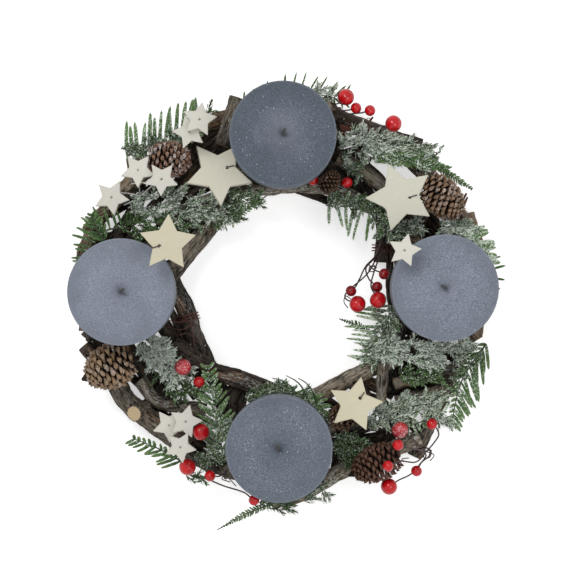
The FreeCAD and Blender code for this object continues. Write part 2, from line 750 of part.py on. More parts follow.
def winding(start_pixel, end_pixel, half_width, turns):
    """Binding wire wound round a branch: one unbroken tube on quarter-turn biarcs."""
    height = branch_thickness - bound_branch_thickness / 2
    first = spot(start_pixel, height)
    axis = spot(end_pixel, height) - first
    axis.normalize()
    side = axis.cross(up)
    over = side.cross(axis)
    radius = max(half_width, bound_branch_thickness / 2) + binding_clearance + binding_diameter / 2
    climb = binding_pitch / (2 * math.pi * radius)

    def at(angle):
        outwards = side * math.cos(angle) + over * math.sin(angle)
        return first + (outwards + axis * climb * angle) * radius

    def along(angle):
        tangent = side * -math.sin(angle) + over * math.cos(angle) + axis * climb
        tangent.normalize()
        return tangent

    last = 2 * math.pi * turns
    begin = at(0) - along(0) * binding_diameter
    finish = at(last) + along(last) * binding_diameter
    edges = [Part.LineSegment(begin, at(0)).toShape()]
    angles = [math.pi / 2 * quarter for quarter in range(4 * turns + 1)]
    for here, there in zip(angles, angles[1:]):
        edges.extend(biarc(at(here), along(here), at(there), along(there)))
    edges.append(Part.LineSegment(at(last), finish).toShape())
    corners = []
    for corner in range(wire_sides):
        turn = 2 * math.pi * corner / wire_sides
        corners.append(begin + (side * math.cos(turn) + axis * math.sin(turn)) * binding_diameter / 2)
    corners.append(corners[0])
    shell = Part.BRepOffsetAPI.MakePipeShell(Part.Wire(Part.__sortEdges__(edges)))
    shell.add(Part.makePolygon(corners))
    shell.build()
    shell.makeSolid()
    points = [at(last * index / winding_samples) for index in range(winding_samples + 1)]
    half_turn = winding_samples // (2 * turns)
    gaps = []
    for index, point in enumerate(points):
        gaps.extend((point - other).Length for other in points[index + half_turn:])
    print("winding: least gap between turns", round(min(gaps) - binding_diameter, 2), "mm")
    return shell.shape()


def make_binding():
    west = bound_branches["inner_west"]
    east = bound_branches["inner_north_east"]
    wide_west = max(place[2] for place in west[2:4]) * table_scale / 2 * max(swell_shares)
    wide_east = max(place[2] for place in east[1:]) * table_scale / 2 * max(swell_shares)
    keep("binding_wire", [
        winding((187, 314), (191, 327), wide_west, 3),
        winding((381.5, 245), (381, 258), wide_east, 2),
    ])


os.makedirs("parts", exist_ok=True)
make_branches()
for side_name in candle_pixels:
    make_seat_branch(side_name)
    make_pan(side_name)
    make_candle(side_name)
make_stars()
make_cones()
make_berries()
make_binding()
make_fronds()

whole = Part.makeCompound(list(parts_made.values())).BoundBox
print("nodes", len(parts_made), "solids", sum(len(shape.Solids) for shape in parts_made.values()))
print("box", round(whole.XMin, 1), round(whole.XMax, 1), round(whole.YMin, 1), round(whole.YMax, 1),
      round(whole.ZMin, 2), round(whole.ZMax, 1))
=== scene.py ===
import bmesh
import bpy
import math
import random
from mathutils import Matrix, Vector, noise


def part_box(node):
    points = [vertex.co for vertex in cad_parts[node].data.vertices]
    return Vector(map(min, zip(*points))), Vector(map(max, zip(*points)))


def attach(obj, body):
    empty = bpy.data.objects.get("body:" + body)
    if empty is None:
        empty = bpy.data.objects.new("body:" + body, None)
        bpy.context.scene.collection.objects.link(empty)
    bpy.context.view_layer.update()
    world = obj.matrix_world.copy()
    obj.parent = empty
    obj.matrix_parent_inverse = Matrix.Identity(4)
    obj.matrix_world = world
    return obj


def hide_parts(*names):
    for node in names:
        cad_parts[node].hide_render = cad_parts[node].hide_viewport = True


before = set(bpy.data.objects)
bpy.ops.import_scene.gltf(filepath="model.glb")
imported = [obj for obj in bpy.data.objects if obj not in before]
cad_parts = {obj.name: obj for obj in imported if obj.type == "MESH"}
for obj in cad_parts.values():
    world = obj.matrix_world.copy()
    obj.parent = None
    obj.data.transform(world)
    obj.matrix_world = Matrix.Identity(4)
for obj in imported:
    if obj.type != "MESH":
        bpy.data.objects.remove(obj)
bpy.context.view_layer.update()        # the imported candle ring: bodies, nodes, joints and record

mm = 0.001
upward = Vector((0, 0, 1))
goldenTurn = math.pi * (3 - math.sqrt(5))
print("frame loaded:", len(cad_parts), "nodes")

# where the camera stands, and the ring in its picture
view = {
    "height": 3.0,
    "pixelSize": 0.306 / 424,      # metres for one pixel, on the table
    "centre": (286.5, 286.5),
    "ringMiddle": (284.2, 303.0),
    "picture": 573,
    "sensor": 36.0,
}


def spot(px, py, z):
    # the place seen at a pixel, at height z
    scale = view["pixelSize"] * (view["height"] - z) / view["height"]
    shiftX = (view["centre"][0] - view["ringMiddle"][0]) * view["pixelSize"]
    shiftY = (view["ringMiddle"][1] - view["centre"][1]) * view["pixelSize"]
    return Vector(((px - view["centre"][0]) * scale + shiftX, (view["centre"][1] - py) * scale + shiftY, z))


# heights that the branches and candles give
candleBoxes = {side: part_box("candle_" + side) for side in ("north", "west", "east", "south")}
railCorners = ("north_west", "south_west", "north_east")
deckTop = max(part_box("branch_rail_" + corner)[1].z for corner in railCorners)
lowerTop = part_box("branch_outer_east")[1].z
candleFoot = candleBoxes["north"][0].z
candleTop = candleBoxes["north"][1].z
candleReach = (candleBoxes["north"][1].x - candleBoxes["north"][0].x) / 2
candleMiddles = {side: (low + high) / 2 for side, (low, high) in candleBoxes.items()}
seatGap = 0.25 * mm      # between pieces that rest on one another
clearance = {            # how far the dressing keeps off a candle
    "beside": 0.6 * mm,
    "below": 1.6 * mm,
}


def spots(route, floor=0.0):
    # places along a route of pixels, each with its height over the floor in millimetres
    return [spot(x, y, floor + z * mm) for x, y, z in route]


def held(point):
    # a point under a candle stays below its foot
    highest = candleFoot - clearance["below"]
    if point.z > highest:
        for middle in candleMiddles.values():
            if math.hypot(point.x - middle.x, point.y - middle.y) < candleReach + clearance["beside"]:
                return Vector((point.x, point.y, highest))
    return point


# materials: the noises, each with its scale, detail and roughness
grains = {
    "barkStreaks": (0.9, 4.0, 0.65),
    "barkPatches": (0.16, 2.0, 0.55),
    "barkWear": (0.09, 2.0, 0.55),
    "barkFlecks": (1.3, 4.0, 0.7),
    "barkDrift": (0.12, 2.0, 0.55),
    "barkRelief": (2.2, 5.0, 0.7),
    "woodWobble": (0.35, 3.0, 0.55),
    "woodSpecks": (2.6, 4.0, 0.55),
    "woodRelief": (3.0, 3.0, 0.55),
    "needleSpecks": (900.0, 3.0, 0.7),
    "scaleStreaks": (700.0, 4.0, 0.7),
    "scaleRime": (950.0, 4.0, 0.8),
    "boardLines": (1.0, 5.0, 0.6),
    "boardClouds": (45.0, 2.0, 0.55),
    "boardDots": (650.0, 2.0, 0.55),
    "berryClouds": (160.0, 3.0, 0.55),
    "berryRime": (800.0, 5.0, 0.8),
    "wireWraps": (1100.0, 2.0, 0.55),
    "waxFine": (1150.0, 3.0, 0.75),
    "waxClouds": (42.0, 4.0, 0.6),
    "steelBrush": (260.0, 4.0, 0.55),
    "frostShades": (300.0, 3.0, 0.55),
}
reliefs = {              # strength and depth of each fine relief
    "bark": (0.7, 0.5 * mm),
    "wood": (0.4, 0.2 * mm),
    "needle": (0.35, 0.15 * mm),
    "scale": (0.5, 0.25 * mm),
    "board": (0.2, 0.1 * mm),
    "berry": (0.15, 0.3 * mm),
    "wire": (0.4, 0.15 * mm),
    "wax": (0.35, 0.25 * mm),
    "steel": (0.1, 0.1 * mm),
}
tones = {
    "frost": (0.7, 0.74, 0.71),
    "frostShade": (0.58, 0.64, 0.58),
    "frostLight": (0.86, 0.9, 0.86),
    "needleFrost": (0.59, 0.66, 0.56),
    "scaleFrost": (0.62, 0.6, 0.6),
    "berryFrost": (0.66, 0.42, 0.46),
    "wornBark": (0.3, 0.185, 0.105),
    "woodDark": (0.42, 0.3, 0.17),
    "woodPale": (0.6, 0.47, 0.3),
    "woodSpeck": (0.24, 0.14, 0.07),
    "boardShade": (0.972, 0.965, 0.945),      # shares of the board's colour
    "glitter": (0.75, 0.8, 0.86),
    "waxRimHighlight": (0.4, 0.44, 0.5),
    "steelDark": (0.3, 0.3, 0.3),
    "steelPale": (0.52, 0.52, 0.53),
}


def node(tree, kind, inputs=None, **settings):
    made = tree.nodes.new("ShaderNode" + kind)
    for key, value in settings.items():
        setattr(made, key, value)
    for key, value in (inputs or {}).items():
        if isinstance(value, bpy.types.NodeSocket):
            tree.links.new(value, made.inputs[key])
        else:
            made.inputs[key].default_value = value
    return made


def mixed(tree, share, first, second):
    made = node(tree, "Mix", data_type="RGBA")
    for index, value in ((0, share), (6, first), (7, second)):
        if isinstance(value, bpy.types.NodeSocket):
            tree.links.new(value, made.inputs[index])
        elif index == 0:
            made.inputs[index].default_value = value
        else:
            made.inputs[index].default_value = (*value, 1)
    return made.outputs[2]


def ramp(tree, share, stops):
    made = node(tree, "ValToRGB", {"Fac": share})
    elements = made.color_ramp.elements
    while len(elements) < len(stops):
        elements.new(0.5)
    for element, (place, colour) in zip(elements, stops):
        element.position = place
        element.color = (*colour, 1)
    return made.outputs["Color"]


def step(tree, value, low, high):
    return node(tree, "MapRange", {"Value": value, "From Min": low, "From Max": high}).outputs["Result"]


def times(tree, first, second, operation="MULTIPLY"):
    return node(tree, "Math", {0: first, 1: second}, operation=operation).outputs[0]


def grainOf(tree, place, name):
    scale, detail, rough = grains[name]
    settings = {"Vector": place, "Scale": scale, "Detail": detail, "Roughness": rough}
    return node(tree, "TexNoise", settings).outputs["Fac"]


def bumped(tree, shader, height, name):
    strength, depth = reliefs[name]
    made = node(tree, "Bump", {"Height": height, "Strength": strength, "Distance": depth})
    tree.links.new(made.outputs["Normal"], shader.inputs["Normal"])


def finish(name, colour=(0.5, 0.5, 0.5), roughness=0.5, **sockets):
    material = bpy.data.materials.new(name)
    material.use_nodes = True
    shader = material.node_tree.nodes["Principled BSDF"]
    shader.inputs["Base Color"].default_value = (*colour, 1)
    shader.inputs["Roughness"].default_value = roughness
    for key, value in sockets.items():
        shader.inputs[key.replace("_", " ")].default_value = value
    return material, material.node_tree, shader


def painted(tree, shader, colour):
    tree.links.new(colour, shader.inputs["Base Color"])


def shaded(colour, share):
    return tuple(share * value for value in colour)


def attribute(tree, name, output="Color"):
    return node(tree, "Attribute", attribute_name=name).outputs[output]


def parted(tree, colour):
    made = node(tree, "SeparateColor", {"Color": colour})
    return made.outputs["Red"], made.outputs["Green"], made.outputs["Blue"]


def objectPlace(tree):
    return node(tree, "TexCoord").outputs["Object"]


def facingUp(tree):
    normal = node(tree, "NewGeometry").outputs["Normal"]
    return node(tree, "SeparateXYZ", {"Vector": normal}).outputs["Z"]


def rimeOf(tree, specks, frost, low, high):
    # frost covers the specks of a noise, and more of them where there is more of it
    return step(tree, times(tree, specks, times(tree, frost, 0.26), "ADD"), low, high)


def barkFinish(name, dark, middle, pale):
    material, tree, shader = finish(name, roughness=0.85, Specular_IOR_Level=0.12)
    place = attribute(tree, "grainPlace", "Vector")
    ridge, frost = parted(tree, attribute(tree, "tint"))[:2]
    streaks = grainOf(tree, place, "barkStreaks")
    base = ramp(tree, streaks, [(0.34, dark), (0.51, middle), (0.68, pale)])
    # painted shade: in the cracks the bark darkens to a third of its dark tone
    deep = mixed(tree, step(tree, ridge, 0.05, 0.6), shaded(dark, 0.3), base)
    patches = step(tree, grainOf(tree, place, "barkPatches"), 0.5, 0.68)
    tone = mixed(tree, patches, deep, mixed(tree, 0.55, deep, pale))
    wear = step(tree, grainOf(tree, place, "barkWear"), 0.6, 0.68)
    worn = times(tree, wear, step(tree, streaks, 0.4, 0.6))
    tone = mixed(tree, times(tree, worn, 0.7), tone, tones["wornBark"])
    flecks = step(tree, grainOf(tree, place, "barkFlecks"), 0.53, 0.62)
    drift = step(tree, grainOf(tree, place, "barkDrift"), 0.42, 0.62)
    lying = times(tree, step(tree, facingUp(tree), 0.1, 0.8), frost)
    cover = times(tree, times(tree, flecks, drift), lying)
    painted(tree, shader, mixed(tree, cover, tone, tones["frost"]))
    bumped(tree, shader, grainOf(tree, place, "barkRelief"), "bark")
    return material


def cutWoodFinish():
    # year rings round the middle of a sawn end
    material, tree, shader = finish("cutWood", roughness=0.75, Specular_IOR_Level=0.3)
    across = {0: attribute(tree, "grainPlace", "Vector"), 1: (0, 1, 1)}
    place = node(tree, "VectorMath", across, operation="MULTIPLY").outputs[0]
    radius = node(tree, "VectorMath", {0: place}, operation="LENGTH").outputs["Value"]
    wobble = times(tree, grainOf(tree, place, "woodWobble"), 4.0)
    turns = times(tree, times(tree, radius, 5.2), wobble, "ADD")
    rings = node(tree, "Math", {0: turns}, operation="SINE").outputs[0]
    colour = ramp(tree, step(tree, rings, -1, 1), [(0.0, tones["woodDark"]), (0.75, tones["woodPale"])])
    specks = step(tree, grainOf(tree, place, "woodSpecks"), 0.56, 0.7)
    painted(tree, shader, mixed(tree, times(tree, specks, 0.5), colour, tones["woodSpeck"]))
    bumped(tree, shader, grainOf(tree, place, "woodRelief"), "wood")
    return material


def needleFinish(name, dark, green, tip):
    material, tree, shader = finish(name, roughness=0.55, Specular_IOR_Level=0.18)
    tone, along, frost = parted(tree, attribute(tree, "tint"))
    body = mixed(tree, tone, dark, green)
    body = mixed(tree, times(tree, step(tree, along, 0.3, 1.0), 0.6), body, tip)
    specks = grainOf(tree, objectPlace(tree), "needleSpecks")
    rime = rimeOf(tree, specks, frost, 0.62, 0.71)
    painted(tree, shader, mixed(tree, rime, body, tones["needleFrost"]))
    bumped(tree, shader, specks, "needle")
    return material


def scaleFinish(name, dark, brown, tip):
    material, tree, shader = finish(name, roughness=0.7, Specular_IOR_Level=0.2)
    along, tone, frost = parted(tree, attribute(tree, "tint"))
    place = objectPlace(tree)
    # painted shade: each scale darkens towards its root, deep between the scales; the pale tip is its own
    # colour
    body = ramp(tree, along, [(0.0, shaded(dark, 0.35)), (0.45, dark), (0.78, brown), (1.0, tip)])
    body = mixed(tree, times(tree, tone, 0.45), body, shaded(brown, 0.45))
    streaks = grainOf(tree, place, "scaleStreaks")
    body = mixed(tree, times(tree, step(tree, streaks, 0.5, 0.72), 0.6), body, shaded(dark, 0.5))
    rime = rimeOf(tree, grainOf(tree, place, "scaleRime"), frost, 0.66, 0.74)
    painted(tree, shader, mixed(tree, rime, body, tones["scaleFrost"]))
    bumped(tree, shader, streaks, "scale")
    return material


def boardFinish(name, colour, speckle):
    # thin sawn board with its grain along the first tip of the star
    material, tree, shader = finish(name, roughness=0.68, Specular_IOR_Level=0.3)
    place = objectPlace(tree)
    grainRun = {0: place, 1: (90.0, 900.0, 900.0)}
    drawn = node(tree, "VectorMath", grainRun, operation="MULTIPLY").outputs[0]
    lines = grainOf(tree, drawn, "boardLines")
    clouds = grainOf(tree, place, "boardClouds")
    pale = tuple(min(0.9, 1.03 * value) for value in colour)
    shade = tuple(value * share for value, share in zip(colour, tones["boardShade"]))
    body = ramp(tree, lines, [(0.3, shade), (0.5, colour), (0.7, pale)])
    body = mixed(tree, times(tree, step(tree, clouds, 0.4, 0.7), 0.2), body, shade)
    dots = step(tree, grainOf(tree, place, "boardDots"), 0.7, 0.76)
    body = mixed(tree, times(tree, dots, speckle), body, shaded(colour, 0.35))
    painted(tree, shader, body)
    bumped(tree, shader, lines, "board")
    return material


def lacquerFinish(name, colour, frosted):
    material, tree, shader = finish(name, roughness=0.4, Specular_IOR_Level=0.1, Coat_Weight=0.65,
                                    Coat_Roughness=0.05)
    place = objectPlace(tree)
    clouds = grainOf(tree, place, "berryClouds")
    body = ramp(tree, clouds, [(0.3, shaded(colour, 0.6)), (0.62, colour)])
    height = facingUp(tree)
    # painted shade: the sides and underside of a berry darken towards a third of its colour
    body = mixed(tree, times(tree, step(tree, height, 0.75, 0.0), 0.6), body, shaded(colour, 0.35))
    if frosted:
        rime = times(tree, step(tree, grainOf(tree, place, "berryRime"), 0.48, 0.62), 0.75)
        lying = times(tree, rime, step(tree, height, 0.1, 0.9))
        body = mixed(tree, lying, body, tones["berryFrost"])
    painted(tree, shader, body)
    bumped(tree, shader, clouds, "berry")
    return material


def wireFinish(name, colour, roughness, metallic):
    material, tree, shader = finish(name, roughness=roughness, Metallic=metallic)
    wraps = grainOf(tree, objectPlace(tree), "wireWraps")
    painted(tree, shader, ramp(tree, wraps, [(0.35, shaded(colour, 0.55)), (0.6, colour)]))
    bumped(tree, shader, wraps, "wire")
    return material


def waxFinish(name, colour, middleTone, middleShare, sparkle, contrast):
    material, tree, shader = finish(name, roughness=0.62, Specular_IOR_Level=0.3)
    place = objectPlace(tree)
    rimHighlightShare, reach = parted(tree, attribute(tree, "tint"))[:2]
    dark = shaded(colour, 0.6)
    fine = grainOf(tree, place, "waxFine")
    cloudy = grainOf(tree, place, "waxClouds")
    body = ramp(tree, fine, [(0.34, shaded(colour, 1 - 0.4 * contrast)), (0.5, colour),
                             (0.66, shaded(colour, 1 + 0.6 * contrast))])
    body = mixed(tree, times(tree, step(tree, cloudy, 0.42, 0.66), 0.5), body, dark)
    # the middle of the top blends into a second tone: lighter than the wax on the north candle, darker on the
    # others
    middle = step(tree, times(tree, reach, times(tree, cloudy, 0.7), "ADD"), 0.95, 0.35)
    body = mixed(tree, times(tree, middle, middleShare), body, middleTone)
    # painted shade: the outer part of the top and the wall darken towards the edge
    body = mixed(tree, times(tree, step(tree, reach, 0.5, 1.05), 0.55), body, dark)
    # painted shade in the dip round the wick
    wickDipShade = times(tree, step(tree, reach, 0.11, 0.04), 0.6)
    body = mixed(tree, wickDipShade, body, shaded(colour, 0.3))
    glitter = node(tree, "TexVoronoi", {"Vector": place, "Scale": 420.0})
    dots = step(tree, glitter.outputs["Distance"], 0.16, 0.08)
    chosen = step(tree, parted(tree, glitter.outputs["Color"])[0], 1 - sparkle, 1.0)
    body = mixed(tree, times(tree, times(tree, dots, chosen), 0.9), body, tones["glitter"])
    # painted highlight on the rounded edge of the top and, fainter, on the foot
    body = mixed(tree, times(tree, rimHighlightShare, 0.15), body, tones["waxRimHighlight"])
    painted(tree, shader, body)
    bumped(tree, shader, times(tree, fine, times(tree, cloudy, 0.6), "ADD"), "wax")
    return material


def steelFinish():
    material, tree, shader = finish("panSteel", roughness=0.42, Metallic=0.9)
    brushed = grainOf(tree, objectPlace(tree), "steelBrush")
    painted(tree, shader, ramp(tree, brushed, [(0.3, tones["steelDark"]), (0.7, tones["steelPale"])]))
    bumped(tree, shader, brushed, "steel")
    return material


def frostFinish():
    material, tree, shader = finish("frostGrain", roughness=0.55)
    shades = grainOf(tree, objectPlace(tree), "frostShades")
    painted(tree, shader, ramp(tree, shades, [(0.35, tones["frostShade"]), (0.6, tones["frostLight"])]))
    return material


# each bark in its cracks, in the middle and on its ridges; a third of the dark tone is painted shade in the
# cracks
barkGrey = barkFinish("barkGrey", (0.034, 0.027, 0.021), (0.118, 0.098, 0.075), (0.32, 0.28, 0.22))
barkBrown = barkFinish("barkBrown", (0.034, 0.022, 0.015), (0.125, 0.088, 0.057), (0.32, 0.245, 0.165))
barkDark = barkFinish("barkDark", (0.016, 0.012, 0.01), (0.049, 0.039, 0.032), (0.15, 0.125, 0.105))
barkPale = barkFinish("barkPale", (0.085, 0.069, 0.05), (0.26, 0.222, 0.165), (0.46, 0.405, 0.32))
# barkShade is a darker copy of the bark: painted shade for the low pieces in the gaps and for branches that
# lie in shade
barkShade = barkFinish("barkShade", (0.016, 0.012, 0.01), (0.05, 0.037, 0.029), (0.12, 0.092, 0.072))
barkRed = barkFinish("barkRed", (0.04, 0.018, 0.012), (0.12, 0.05, 0.032), (0.24, 0.12, 0.08))
cutWood = cutWoodFinish()
firGreen = needleFinish("firGreen", (0.009, 0.027, 0.009), (0.06, 0.13, 0.033), (0.145, 0.24, 0.07))
stemBrown = wireFinish("stemBrown", (0.05, 0.06, 0.025), 0.7, 0.0)
frostGrain = frostFinish()
print("materials made")


# meshes

def newHeap():
    return {"verts": [], "faces": [], "slots": [], "tint": [], "place": []}


def drop(heap, verts, faces, tint, slot=0, place=None):
    # adds corners and faces, with one tint for all or one for each corner, and so for the slots of faces
    start = len(heap["verts"])
    heap["verts"].extend(verts)
    heap["faces"].extend([tuple(start + index for index in face) for face in faces])
    heap["slots"].extend(slot if isinstance(slot, list) else [slot] * len(faces))
    heap["tint"].extend(tint if isinstance(tint, list) else [tint] * len(verts))
    heap["place"].extend(place if place else verts)


def placed(name, data, matrix=None):
    made = bpy.data.objects.new(name, data)
    if matrix is not None:
        made.matrix_world = matrix
    bpy.context.scene.collection.objects.link(made)
    return made


def pieceOf(heap, name, materials, smoothAngle=50.0):
    mesh = bpy.data.meshes.new(name)
    mesh.from_pydata([tuple(vert) for vert in heap["verts"]], [], heap["faces"])
    for material in materials:
        mesh.materials.append(material)
    mesh.polygons.foreach_set("material_index", heap["slots"])
    tint = mesh.attributes.new("tint", "FLOAT_COLOR", "POINT")
    tint.data.foreach_set("color", [value for row in heap["tint"] for value in (*row, 1.0)])
    place = mesh.attributes.new("grainPlace", "FLOAT_VECTOR", "POINT")
    place.data.foreach_set("vector", [value for row in heap["place"] for value in row])
    mesh.polygons.foreach_set("use_smooth", [True] * len(mesh.polygons))
    mesh.set_sharp_from_angle(angle=math.radians(smoothAngle))
    mesh.update()
    return placed(name, mesh)


def weld(piece, reach):
    # joins corners that lie within reach of one another
    merged = bmesh.new()
    merged.from_mesh(piece.data)
    bmesh.ops.remove_doubles(merged, verts=merged.verts, dist=reach)
    merged.to_mesh(piece.data)
    merged.free()


def handIn(piece, body, slot, *nodes):
    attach(piece, body)
    if nodes:
        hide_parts(*nodes)


def ringFaces(rings, around, flip=False):
    # four-sided faces between rings of corners
    faces = []
    for ring in range(rings - 1):
        for corner in range(around):
            a, b = ring * around + corner, ring * around + (corner + 1) % around
            faces.append((a, b, b + around, a + around) if flip else (a, a + around, b + around, b))
    return faces


def tubeFaces(rings, around):
    # the same, with a flat cap on each end
    last = (rings - 1) * around
    caps = [tuple(range(around)), tuple(reversed(range(last, last + around)))]
    return ringFaces(rings, around) + caps


curveParts = 16          # straight parts for each stretch between two points


def curved(points, spacing):
    # an even walk along a smooth line through the points, and its length
    ends = [points[0] * 2 - points[1], *points, points[-1] * 2 - points[-2]]
    dense = []
    for index in range(1, len(ends) - 2):
        a, b, c, d = ends[index - 1:index + 3]
        for part in range(curveParts):
            t = part / curveParts
            dense.append(0.5 * ((2 * b) + (c - a) * t + (2 * a - 5 * b + 4 * c - d) * t ** 2
                                + (3 * b - a - 3 * c + d) * t ** 3))
    dense.append(points[-1])
    lengths = [0.0]
    for before, after in zip(dense, dense[1:]):
        lengths.append(lengths[-1] + (after - before).length)
    count = max(2, round(lengths[-1] / spacing))
    walk = []
    index = 0
    for number in range(count + 1):
        wanted = lengths[-1] * number / count
        while index < len(dense) - 2 and lengths[index + 1] < wanted:
            index += 1
        span = lengths[index + 1] - lengths[index]
        share = 0 if span == 0 else (wanted - lengths[index]) / span
        walk.append(dense[index].lerp(dense[index + 1], min(1, share)))
    return walk, lengths[-1]


def frames(walk):
    # each point of a walk with its heading, sideways and outwards, without twist
    rows = []
    side = None
    for index, point in enumerate(walk):
        heading = (walk[min(index + 1, len(walk) - 1)] - walk[max(index - 1, 0)]).normalized()
        if side is None:
            side = heading.cross(upward)
            if side.length < 0.2:
                side = heading.cross(Vector((1, 0, 0)))
        side = (side - heading * side.dot(heading)).normalized()
        rows.append((point, heading, side, side.cross(heading)))
    return rows


def addTube(heap, points, radius, sides=8, slot=0, spacing=1.0 * mm, tint=(0.5, 0.5, 0.0), tip=1.0):
    # a round tube along the points, whose radius goes evenly to the share tip at the far end
    walk = curved(points, spacing)[0] if len(points) > 2 else points
    verts = []
    for index, (point, heading, side, over) in enumerate(frames(walk)):
        reach = radius * (1 + (tip - 1) * index / (len(walk) - 1))
        for corner in range(sides):
            angle = 2 * math.pi * corner / sides
            verts.append(point + side * reach * math.cos(angle) + over * reach * math.sin(angle))
    drop(heap, verts, tubeFaces(len(walk), sides), tint, slot)


# grains of snow and frost
grit = {
    "corners": [(1, 0, 0), (0, 1, 0), (-1, 0, 0), (0, -1, 0), (0, 0, 1), (0, 0, -1)],
    "faces": [(0, 1, 4), (1, 2, 4), (2, 3, 4), (3, 0, 4), (1, 0, 5), (2, 1, 5), (3, 2, 5), (0, 3, 5)],
    "stretch": (0.5, 1.2),
    "flatness": 0.8,
    "tint": (0.5, 0.5, 1.0),
}


def addGrain(heap, point, size, rng, slot=0):
    # a crystal with eight faces, turned and stretched at random
    turn = rng.uniform(0, math.pi)
    cos, sin = math.cos(turn), math.sin(turn)
    wide, deep, high = [size * rng.uniform(*grit["stretch"]) for unused in range(3)]
    verts = []
    for x, y, z in grit["corners"]:
        x, y = x * wide, y * deep
        verts.append(point + Vector((x * cos - y * sin, x * sin + y * cos, z * high * grit["flatness"])))
    drop(heap, verts, grit["faces"], grit["tint"], slot)


# bark: how the surface of every branch is made
relief = {
    "around": 40,                     # corners round a branch
    "ringStep": 1.15 * mm,
    "seedShift": (7.3, 3.1, 5.7),     # moves the noise from branch to branch
    "grainRun": 0.22,                 # draws the noise out along the branch
    "lumps": (45, 1.1),               # noise scales along the branch and round it
    "cracks": 0.62,
    "crackEdge": 2.6,
    "fines": 2.1,
    "lumpDepth": 0.75 * mm,
    "crackDepth": 0.75 * mm,
    "fineDepth": 0.22 * mm,
    "swell": 0.1 * mm,
    "rough": 0.75,                    # share of all this on a full branch
    "knots": 3,
    "knotPlaces": (0.15, 0.85),
    "knotRises": (0.5, 1.1),
    "knotReach": 3.2 * mm,
    "knotTurn": 1.9,
    "knotEdge": 5,
    "snowSlope": 0.55,
    "snowShare": 0.02,
    "snowDrift": 70,
    "capShares": (0.88, 0.5, 0.2),    # rings of corners on a sawn end
    "capRise": 0.35 * mm,
    "capMiddle": 0.3 * mm,
    "sawMarks": 900,
    "sawDepth": 0.12 * mm,
}

